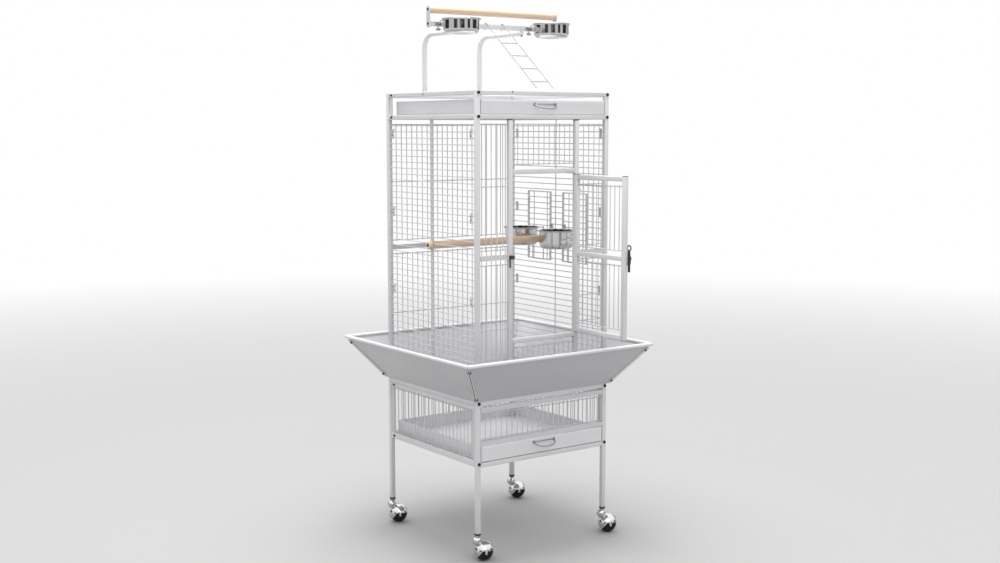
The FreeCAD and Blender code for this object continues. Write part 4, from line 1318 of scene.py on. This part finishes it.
@dataclass
class Trays:
    """The top tray and the drawer: folded sheet pans with bent wire handles."""

    layout: Layout
    wall: float = 1.2
    hem: float = 2.6
    corner: float = 3.0
    handle: float = 4.0
    handle_span: float = 82.0
    handle_drop: float = 14.0

    def build(self) -> None:
        """Build both pans and their handles."""
        for node, body in (("top_tray", "top_tray"), ("drawer", "drawer")):
            self.pan(node).piece(node + "_pan", TRAY_WHITE, body, [node])
            self.pull(node + "_handle", body)

    def pan(self, node: str) -> Draft:
        """An open pan with rounded corners and a hemmed rim, in a node's box.

        Args:
            node: The node whose box it fills.

        Returns:
            The pan.
        """
        low, high = box(node)
        centre = (low + high) / 2
        size = high - low

        def ring(inset: float, z: float) -> list[Vector]:
            """The pan's outline pulled in by an inset at a height.

            Args:
                inset: How far it is pulled in.
                z: Its height.

            Returns:
                The points round it.
            """
            radius = max(self.corner - inset, 0.8)
            outline = rounded(size.x - 2 * inset, size.y - 2 * inset, radius)
            return [Vector((centre.x + u, centre.y + v, z)) for u, v in outline]

        hem = self.hem
        rings = [ring(2.2, low.z), ring(0.7, low.z + 0.6), ring(0.3, low.z + 2.2), ring(0.3, high.z - 9.0)]
        rings += [ring(0.0, high.z - 8.2), ring(0.0, high.z - 1.2), ring(0.4, high.z - 0.3)]
        rings += [ring(hem / 2, high.z), ring(hem - 0.4, high.z - 0.3), ring(hem, high.z - 1.2)]
        rings += [ring(hem, high.z - 8.0), ring(0.3 + self.wall, high.z - 9.2)]
        rings += [ring(0.3 + self.wall, low.z + 3.0), ring(2.0 + self.wall, low.z + self.wall)]
        draft = Draft()
        draft.skin(rings)
        return draft

    def pull(self, node: str, body: str) -> None:
        """Build a bent wire handle with a small foot plate at each end.

        Args:
            node: The handle, as the frame names it.
            body: The moving body that it rides on.
        """
        low, high = box(node)
        span, face = self.handle_span / 2, -self.layout.outer
        z, drop, reach = high.z - 2.0, self.handle_drop, face - low.y - 2.0
        path = []
        for i in range(25):
            angle = math.pi * i / 24
            out = math.sin(angle) ** 0.8 if 0 < i < 24 else 0.0
            path.append((-span * math.cos(angle), face - reach * out + 0.4, z - drop * out))
        wire, feet = Draft(), Draft()
        wire.sweep(path, self.handle, 14)
        foot = [(5.5, -0.3), (5.5, 0.7), (4.8, 1.2), (2.0, 1.4)]
        for x in (-span, span):
            feet.lathe(foot, placed((x, face, z), (0, -1, 0)), 28)
        wire.sweep([(-span, face - 1.4, z), (span, face - 1.4, z)], self.handle * 0.7, 14)
        wire.piece(node + "_wire", HANDLE_STEEL, body, [node])
        feet.piece(node + "_feet", HANDLE_STEEL, body)


@dataclass
class Bowls:
    """Spun steel bowls and the wire rings, arms and clamps that carry the two on the play top."""

    rim: float = 124.0
    lip: float = 5.0
    wall: float = 1.0
    ring_rod: float = 4.0
    names: tuple[str, ...] = ("play_bowl_left", "play_bowl_right", "inner_bowl_front", "inner_bowl_back")
    clamps: tuple[float, float] = (-222.0, 141.0)

    def build(self) -> None:
        """Build the four bowls and the play top's holders."""
        bodies = ("bowl_play_left", "bowl_play_right", "bowl_inner_front", "bowl_inner_back")
        for node, body in zip(self.names, bodies):
            low, high = box(node)
            middle = (low + high) / 2
            draft = Draft()
            draft.lathe(self.profile(low.z, high.z), placed((middle.x, middle.y, 0), UP, (1, 0, 0)), 72)
            draft.piece(node + "_spun", BOWL_STEEL, body, [node], (middle.x, middle.y, low.z))
        self.holders()

    def profile(self, foot: float, rim: float) -> list[tuple[float, float]]:
        """A bowl's outline from the middle of its foot, out, up, over the lip and back inside.

        Args:
            foot: The height of its foot.
            rim: The height of its lip.

        Returns:
            Radius and height of each point.
        """
        reach, t = self.rim / 2, self.wall
        body = reach - self.lip
        bottom = body * 0.82
        rise = (rim - foot) * 0.3
        points = [(0.0, foot + 1.2), (bottom * 0.55, foot + 1.2), (bottom * 0.62, foot), (bottom, foot)]
        for i in range(1, 8):
            angle = i / 7 * math.pi / 2
            points.append((bottom + (body - bottom) * math.sin(angle), foot + rise * (1 - math.cos(angle))))
        points += [(body, foot + rise + 0.8), (body, rim - 3.6), (body, rim - 3.0)]
        points += [(body + 0.4, rim - t - 0.6), (body + 1.2, rim - t)]
        points += [(reach - 0.8, rim - t - 0.2), (reach - 0.1, rim - t + 0.1), (reach, rim - 0.5)]
        points += [(reach - 0.5, rim), (body + 0.8, rim), (body - t + 0.3, rim - 0.7), (body - t, rim - 2.4)]
        points += [(body - t, rim - 3.2), (body - t, foot + rise + 1.8)]
        for i in range(7, 0, -1):
            angle = i / 7 * math.pi / 2
            points.append(
                (bottom - t + (body - bottom) * math.sin(angle), foot + t + rise * (1 - math.cos(angle)))
            )
        points += [(bottom - t, foot + t), (bottom * 0.6 - t, foot + t), (bottom * 0.52, foot + 1.2 + t)]
        points.append((0.0, foot + 1.2 + t))
        return points

    def holders(self) -> None:
        """Build each play-top ring with its arm, clamp jaw, screw and wing nut."""
        bar_low, bar_high = box("play_bar")
        level_z = (bar_low.z + bar_high.z) / 2
        holders, nuts = Draft(), Draft()
        for node, clamp_x in zip(self.names[:2], self.clamps):
            low, high = box(node)
            x, y = (low.x + high.x) / 2, (low.y + high.y) / 2
            level = high.z - self.wall - 0.3 - self.ring_rod / 2
            radius = self.rim / 2 - self.lip + 0.3 + self.ring_rod / 2
            rod = self.ring_rod / 2
            loop = []
            for i in range(12):
                angle = 2 * math.pi * i / 12
                loop.append((radius + rod * math.cos(angle), level + rod * math.sin(angle)))
            holders.lathe(loop, placed((x, y, 0), UP), 72, closed=True)
            screw_y = bar_low.y - 2.5
            way = Vector((clamp_x - x, screw_y - y, 0)).normalized()
            start = Vector((x, y, level)) + way * (radius + 1)
            knee = Vector((clamp_x, screw_y, level_z)) - way * 10
            knee.z = level
            holders.sweep([start, knee, (clamp_x, screw_y, level_z)], self.ring_rod, 14)
            jaw = (clamp_x - 11, screw_y - 2.5, level_z - 7)
            holders.bar(jaw, (clamp_x + 11, bar_low.y, level_z + 7), Axis.X, 1.6)
            foot = level_z - 20
            holders.sweep([(clamp_x, screw_y, level_z - 6), (clamp_x, screw_y, foot)], 5.0, 16)
            hub = [(0.0, -1.5), (4.0, -1.5), (3.6, 4.5), (0.0, 4.5)]
            nuts.lathe(hub, placed((clamp_x, screw_y, foot), UP), 24)
            for sx in (-1, 1):
                place = placed((clamp_x + sx * 5.6, screw_y + 1.5, foot + 2.4), (0, -1, 0), (sx * 0.5, 0, 1))
                nuts.prism(rounded(8.0, 5.4, 2.4), place, 3.0, 0.8)
        holders.piece("play_bowl_rings", HOLDER_STEEL, "cage", ["play_bowl_holders"])
        nuts.piece("play_bowl_wing_nuts", HOLDER_STEEL, "cage")


@dataclass
class PlayTop:
    """The bent arms, flat bar, end brackets and the two wooden perches."""

    layout: Layout
    arm: float = 16.0
    arm_bend: float = 50.0
    bracket: float = 20.0
    bracket_sheet: float = 3.0

    def build(self) -> None:
        """Build the arms, the bar, the brackets and the perches."""
        self.arms()
        self.bar_and_brackets()
        self.perches()

    def arms(self) -> None:
        """Build the two bent tubes with a welded foot ring and a screw through each end."""
        lay = self.layout
        low, high = box("play_arms")
        level = high.z - self.arm / 2
        arms, screws = Draft(), Draft()
        for x in (low.x + self.arm / 2, high.x - self.arm / 2):
            path = [Vector((x, lay.half, lay.frame_top)), Vector((x, lay.half, lay.frame_top + 40))]
            turn = bend(
                (x, lay.half - self.arm_bend, level - self.arm_bend),
                (0, self.arm_bend, 0),
                (0, 0, self.arm_bend),
                14,
            )
            path += [Vector(point) for point in turn] + [Vector((x, low.y + 0.4, level))]
            arms.sweep(path, self.arm, 28)
            foot = [(8.0, -0.4), (9.6, 0.0), (9.6, 2.2), (8.6, 3.4), (7.8, 4.2)]
            arms.lathe(foot, placed((x, lay.half, lay.frame_top), UP), 32)
            middle = (corner("play_bar", False).y + corner("play_bar", True).y) / 2
            screws.add(screw(7.0, 2.4, placed((x, middle, level - self.arm / 2 + 0.4), (0, 0, -1))))
        arms.piece("play_arm_tubes", FRAME_WHITE, "cage", ["play_arms"])
        screws.piece("play_arm_screws", BOLT_BLACK, "cage")

    def bar_and_brackets(self) -> None:
        """Build the flat bar, and the round-topped brackets with two screws each."""
        low, high = box("play_bar")
        bar = Draft()
        bar.bar(low, high, Axis.X, 1.2)
        bar.piece("play_flat_bar", FRAME_WHITE, "cage", ["play_bar"])
        foot, top = box("perch_brackets")
        middle, wide = (low.y + high.y) / 2, self.bracket / 2
        plates, screws = Draft(), Draft()
        perch_z = (corner("play_perch", False).z + corner("play_perch", True).z) / 2
        for sx, x in ((-1, foot.x), (1, top.x)):
            outline = []
            centre = top.z - wide
            for i in range(13):
                angle = math.pi * i / 12
                outline.append((centre + wide * math.sin(angle), wide * math.cos(angle)))
            outline += [(foot.z + 2.0, -wide), (foot.z, -wide + 2.0)]
            outline += [(foot.z, wide - 2.0), (foot.z + 2.0, wide)]
            level = (top.z + foot.z) / 2
            shape = [(u - level, v) for u, v in outline]
            start = placed((x, middle, level), (-sx, 0, 0), UP)
            plates.prism(shape, start, self.bracket_sheet, 0.6)
            for z in (perch_z, (low.z + high.z) / 2):
                screws.add(screw(8.0, 2.6, placed((x - sx * 0.3, middle, z), (sx, 0, 0))))
        plates.piece("perch_bracket_plates", FRAME_WHITE, "cage", ["perch_brackets"])
        screws.piece("perch_bracket_screws", BOLT_BLACK, "cage")

    def perches(self) -> None:
        """Turn the two perches, and build the wooden disc and screw outside the left wall."""
        for node in ("play_perch", "inner_perch"):
            low, high = box(node)
            radius, length = (high.z - low.z) / 2, high.x - low.x
            middle = (low + high) / 2
            profile = [(0.0, 0.0), (radius - 2.2, 0.0), (radius - 0.7, 0.6), (radius, 2.2)]
            waves = 26
            for i in range(1, waves):
                sway = 0.12 * math.sin(i * 1.7) + 0.08 * math.sin(i * 0.61 + 1.0)
                profile.append((radius - 0.15 + sway * 0.6, length * i / waves))
            profile += [(radius, length - 2.2), (radius - 0.7, length - 0.6)]
            profile += [(radius - 2.2, length), (0.0, length)]
            draft = Draft()
            draft.lathe(profile, placed((low.x, middle.y, middle.z), (1, 0, 0)), 40)
            draft.piece(node + "_turned", PERCH_WOOD, "cage", [node], tuple(middle))
        low, high = box("inner_perch")
        disc, fixing = Draft(), Draft()
        start = (-self.layout.half - 1.6, (low.y + high.y) / 2, (low.z + high.z) / 2)
        radius, depth = (high.z - low.z) / 2, 13.0
        shape = [(0.0, 0.0), (radius - 0.8, 0.0), (radius, 0.8), (radius, depth - 2.0)]
        shape += [(radius - 0.6, depth - 0.7), (radius - 2.0, depth)]
        shape += [(5.2, depth), (4.4, depth - 0.5), (0.0, depth - 0.5)]
        disc.lathe(shape, placed(start, (-1, 0, 0)), 40)
        disc.piece("inner_perch_disc", PERCH_WOOD, "cage", origin=start)
        fixing.add(screw(9.0, 2.4, placed((start[0] - depth + 0.4, start[1], start[2]), (-1, 0, 0))))
        fixing.piece("inner_perch_screw", BOLT_BLACK, "cage")


@dataclass
class Casters:
    """Ball casters: a black collar in each leg, a bright hood on a neck, and a black ball wheel."""

    layout: Layout
    wheel: float = 60.0
    half_width: float = 24.0
    offset: float = field(init=False)
    turn: float = -20.0
    hood_gap: float = 1.0
    hood_sheet: float = 1.6
    edge: float = 8.5
    break_at: float = -12.0
    tilt: float = 57.0
    ear_drop: float = 0.36
    ear_width: float = 4.5
    horn: float = 30.0
    horn_back: float = 3.0
    horn_drop: float = 3.0
    axle: float = 6.0
    collar: float = 21.0
    collar_height: float = 6.0

    def __post_init__(self) -> None:
        """Read how far a wheel trails behind its leg."""
        away = joint_place("roll_front_left") - joint_place("swivel_front_left")
        self.offset = math.hypot(away.x, away.y) / MM

    def build(self) -> None:
        """Build the four casters."""
        collars = Draft()
        for name, sx, sy in self.layout.corners():
            spot = Matrix.Translation((sx * self.layout.half, sy * self.layout.half, 0))
            place = spot @ Matrix.Rotation(math.radians(self.turn), 4, "Z")
            collars.add(self.socket(), spot)
            centre = place @ Vector((self.offset, 0, self.wheel / 2))
            hood = self.hood().moved(place)
            hood.piece("hood_" + name, HOOD_CHROME, "caster_" + name, ["caster_hood_" + name], tuple(centre))
            ball = self.ball().moved(place)
            ball.piece("ball_" + name, WHEEL_BLACK, "wheel_" + name, ["caster_wheel_" + name], tuple(centre))
        collars.piece("caster_collar_rings", COLLAR_BLACK, "cage", ["caster_collars"])

    def socket(self) -> Draft:
        """The collar under a leg, with a stepped foot and a sleeve against the tube.

        Returns:
            The collar, about the upright through the origin.
        """
        draft = Draft()
        foot = self.layout.leg_foot - self.collar_height
        r = self.collar / 2
        ring = [(4.1, 0.2), (r - 1.4, 0.0), (r - 0.4, 0.8), (r, 2.0), (r, 4.6)]
        ring += [(r - 0.8, 5.7), (r - 2.0, 6.0), (4.1, 6.0)]
        draft.lathe(ring, placed((0, 0, foot), UP), 36, closed=True)
        return draft

    def lowest(self, heading: float, radius: float) -> float:
        """How far down from its top the hood reaches.

        Args:
            heading: The way round from where it trails.
            radius: The radius of the hood's ball.

        Returns:
            The angle from the top, larger on the stem's side where the edge runs down.
        """
        angle = math.acos(self.edge / radius)
        slope = math.tan(math.radians(self.tilt))
        fall = -math.cos(heading) * slope
        if fall > 0.0:
            reach = math.hypot(1.0, fall)
            level = (self.edge - self.break_at * slope) / (radius * reach)
            angle = max(angle, math.atan(fall) + math.acos(min(level, 1.0)))
        ear = math.exp(-(((abs(math.degrees(heading - math.pi)) - 90.0) / self.ear_width) ** 2))
        return angle + self.ear_drop * ear

    def hood(self) -> Draft:
        """The pressed hood with a curled edge, the rounded horn and neck on it, and the axle's hubs.

        Returns:
            The hood, about the upright through the origin.
        """
        draft = Draft()
        radius = self.wheel / 2
        gap, shell = radius + self.hood_gap, radius + self.hood_gap + self.hood_sheet
        centre = Vector((self.offset, 0, radius))
        levels = [(shell, max(i / 16, 0.002), 0.0) for i in range(17)]
        levels += [(shell + 0.5, 1.0, 0.012), (shell + 0.4, 1.0, 0.045)]
        levels += [(gap + 0.3, 1.0, 0.05), (gap, 1.0, 0.02)]
        levels += [(gap, max((15 - i) / 16, 0.002), 0.0) for i in range(16)]
        rings = []
        for reach, share, extra in levels:
            ring = []
            for i in range(64):
                heading = 2 * math.pi * i / 64
                angle = share * self.lowest(heading, shell) + extra
                flat = reach * math.sin(angle)
                away = Vector((flat * math.cos(heading), flat * math.sin(heading), reach * math.cos(angle)))
                ring.append(centre + away)
            rings.append(ring)
        draft.skin(rings)
        top = self.layout.leg_foot - self.collar_height
        horn = Draft()
        r = self.horn / 2
        shape = [(r * math.sin(math.pi * i / 20), -r * math.cos(math.pi * i / 20)) for i in range(21)]
        horn.lathe(shape, placed((-self.horn_back, 0, top - self.horn_drop - r), UP), 48)
        for point in horn.points:
            away = point - centre
            if away.length < gap + 0.3:
                point += away.normalized() * (gap + 0.3 - away.length)
        draft.add(horn)
        neck = [(0.0, top - 9.0), (7.5, top - 9.0), (7.5, top - 4.7), (8.2, top - 3.5), (9.0, top - 3.1)]
        neck += [(9.0, top - 0.9), (8.4, top - 0.3), (4.0, top - 0.3), (4.0, top + 4.0), (0.0, top + 4.0)]
        draft.lathe(neck, placed((0, 0, 0), UP), 36)
        for sy in (-1, 1):
            hub = [(0.0, 24.4), (5.0, 24.4), (5.0, 31.4), (4.3, 32.4), (0.0, 32.6)]
            draft.lathe(hub, placed(centre, (0, sy, 0)), 28)
        return draft

    def ball(self) -> Draft:
        """The ball wheel with a parting groove, a worn tread and dished sides.

        Returns:
            The wheel, where it trails behind the upright through the origin.
        """
        radius, w = self.wheel / 2, self.half_width
        side = math.sqrt(radius * radius - w * w)
        bore = self.axle / 2 + 0.1
        profile = [(bore, -w + 2.0), (9.0, -w + 2.0), (10.5, -w + 0.2), (side - 1.0, -w), (side, -w + 0.5)]
        for i in range(-11, 12):
            x = (w - 0.8) * i / 11
            groove = 0.8 if i == 0 else 0.0
            profile.append((math.sqrt(radius * radius - x * x) - groove, x))
        profile += [(side, w - 0.5), (side - 1.0, w), (10.5, w - 0.2), (9.0, w - 2.0), (bore, w - 2.0)]
        draft = Draft()
        draft.lathe(profile, placed((self.offset, 0, radius), (0, 1, 0)), 56, closed=True)
        return draft


# ---------------------------------------------------------------- the studio


@dataclass
class Studio:
    """Pale paper floor, soft lights and the camera."""

    floor_reach: float = 60.0
    low_sky: float = 0.8
    high_sky: float = 1.5
    flag: float = 0.03
    flag_top: float = 0.3
    flags: tuple[tuple[float, float], ...] = (
        (0.05, 0.07),
        (0.17, 0.09),
        (0.29, 0.05),
        (0.42, 0.11),
        (0.56, 0.06),
        (0.7, 0.1),
        (0.86, 0.12),
    )
    camera_place: Point = (-2.586, -3.582, 1.359)
    camera_pitch: float = 83.4
    camera_heading: float = -36.0
    lens: float = 47.6
    lamps: tuple[tuple[str, Point, float, float], ...] = (
        ("key", (-1.6, -3.6, 3.6), 26.0, 2.4),
        ("top", (0.0, 0.2, 4.2), 140.0, 2.2),
    )

    def build(self) -> None:
        """Lay the floor, hang the lights and set the camera."""
        self.floor()
        self.surround()
        for lamp in self.lamps:
            self.light(*lamp)
        self.camera()

    def floor(self) -> None:
        """Lay a wide paper floor, divided so that it stays smooth."""
        draft = bmesh.new()
        bmesh.ops.create_grid(draft, x_segments=24, y_segments=24, size=self.floor_reach)
        mesh = bpy.data.meshes.new("paper_floor")
        draft.to_mesh(mesh)
        draft.free()
        mesh.materials.append(FLOOR_PAPER.material())
        floor = bpy.data.objects.new("paper_floor", mesh)
        bpy.context.scene.collection.objects.link(floor)

    def surround(self) -> None:
        """Surround the studio with light that grows upwards, broken by a few upright dark flags.

        The flags give bright metal something to mirror. The wall behind the piece is plain white.
        """
        world = bpy.data.worlds.new("studio_white")
        world.use_nodes = True
        tree = world.node_tree
        sky = tree.nodes["Background"]
        way = tree.nodes.new("ShaderNodeTexCoord").outputs["Generated"]
        around = tree.nodes.new("ShaderNodeTexGradient")
        around.gradient_type = "RADIAL"
        tree.links.new(way, around.inputs["Vector"])
        bands = tree.nodes.new("ShaderNodeValToRGB")
        stops = [(0.0, 1.0)]
        for place, width in self.flags:
            half = width / 2
            stops += [(place - half, 1.0), (place - half * 0.85, self.flag)]
            stops += [(place + half * 0.85, self.flag), (place + half, 1.0)]
        while len(bands.color_ramp.elements) < len(stops):
            bands.color_ramp.elements.new(0.5)
        for element, (place, tone) in zip(bands.color_ramp.elements, stops):
            element.position = place
            element.color = (tone, tone, tone, 1.0)
        tree.links.new(around.outputs["Fac"], bands.inputs["Fac"])
        split = tree.nodes.new("ShaderNodeSeparateXYZ")
        tree.links.new(way, split.inputs["Vector"])
        height = tree.nodes.new("ShaderNodeMapRange")
        height.inputs["From Max"].default_value = 0.7
        height.inputs["To Min"].default_value = self.low_sky
        height.inputs["To Max"].default_value = self.high_sky
        tree.links.new(split.outputs["Z"], height.inputs["Value"])
        low = tree.nodes.new("ShaderNodeMapRange")
        low.inputs["From Min"].default_value = self.flag_top * 0.8
        low.inputs["From Max"].default_value = self.flag_top
        tree.links.new(split.outputs["Z"], low.inputs["Value"])
        over = tree.nodes.new("ShaderNodeMix")
        over.data_type = "RGBA"
        tree.links.new(low.outputs["Result"], over.inputs["Factor"])
        tree.links.new(bands.outputs["Color"], over.inputs["A"])
        over.inputs["B"].default_value = (1.0, 1.0, 1.0, 1.0)
        shade = tree.nodes.new("ShaderNodeVectorMath")
        shade.operation = "SCALE"
        tree.links.new(over.outputs["Result"], shade.inputs[0])
        tree.links.new(height.outputs["Result"], shade.inputs["Scale"])
        seen = tree.nodes.new("ShaderNodeMix")
        seen.data_type = "RGBA"
        tree.links.new(tree.nodes.new("ShaderNodeLightPath").outputs["Is Camera Ray"], seen.inputs["Factor"])
        tree.links.new(shade.outputs["Vector"], seen.inputs["A"])
        seen.inputs["B"].default_value = (1.0, 1.0, 1.0, 1.0)
        tree.links.new(seen.outputs["Result"], sky.inputs["Color"])
        bpy.context.scene.world = world
        bpy.context.scene.view_settings.view_transform = "Standard"

    def light(self, name: str, place: Point, power: float, size: float) -> None:
        """Hang a square soft light that points at the middle of the cage.

        Args:
            name: What it is called after "studio_".
            place: Where it hangs, in metres.
            power: Its power in watts.
            size: The length of its side in metres.
        """
        lamp = bpy.data.lights.new("studio_" + name, "AREA")
        lamp.energy = power
        lamp.size = size
        holder = bpy.data.objects.new("studio_" + name, lamp)
        bpy.context.scene.collection.objects.link(holder)
        holder.location = place
        aim = Vector((0.0, 0.0, 0.9)) - Vector(place)
        holder.rotation_euler = aim.to_track_quat("-Z", "Y").to_euler()

    def camera(self) -> None:
        """Set the camera a little above the middle, to the left of the front."""
        lens = bpy.data.cameras.new("studio_camera")
        lens.lens = self.lens
        lens.sensor_width = 36.0
        camera = bpy.data.objects.new("studio_camera", lens)
        bpy.context.scene.collection.objects.link(camera)
        camera.location = self.camera_place
        camera.rotation_euler = (math.radians(self.camera_pitch), 0.0, math.radians(self.camera_heading))
        bpy.context.scene.camera = camera


def main() -> None:
    """Build every sub-assembly in order, then the studio."""
    logging.basicConfig(level=logging.INFO, format="%(name)s: %(message)s")
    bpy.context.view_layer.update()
    layout = Layout()
    builders: list[Callable[[], None]] = [
        TubeFrame(layout).build,
        Fasteners(layout).build,
        WireWalls().build,
        FrontDoor(layout).build,
        SeedGuard(layout).build,
        Trays(layout).build,
        Bowls().build,
        PlayTop(layout).build,
        Casters(layout).build,
        Studio().build,
    ]
    for build in builders:
        build()
    bpy.context.view_layer.update()


if __name__ == "__main__":
    main()
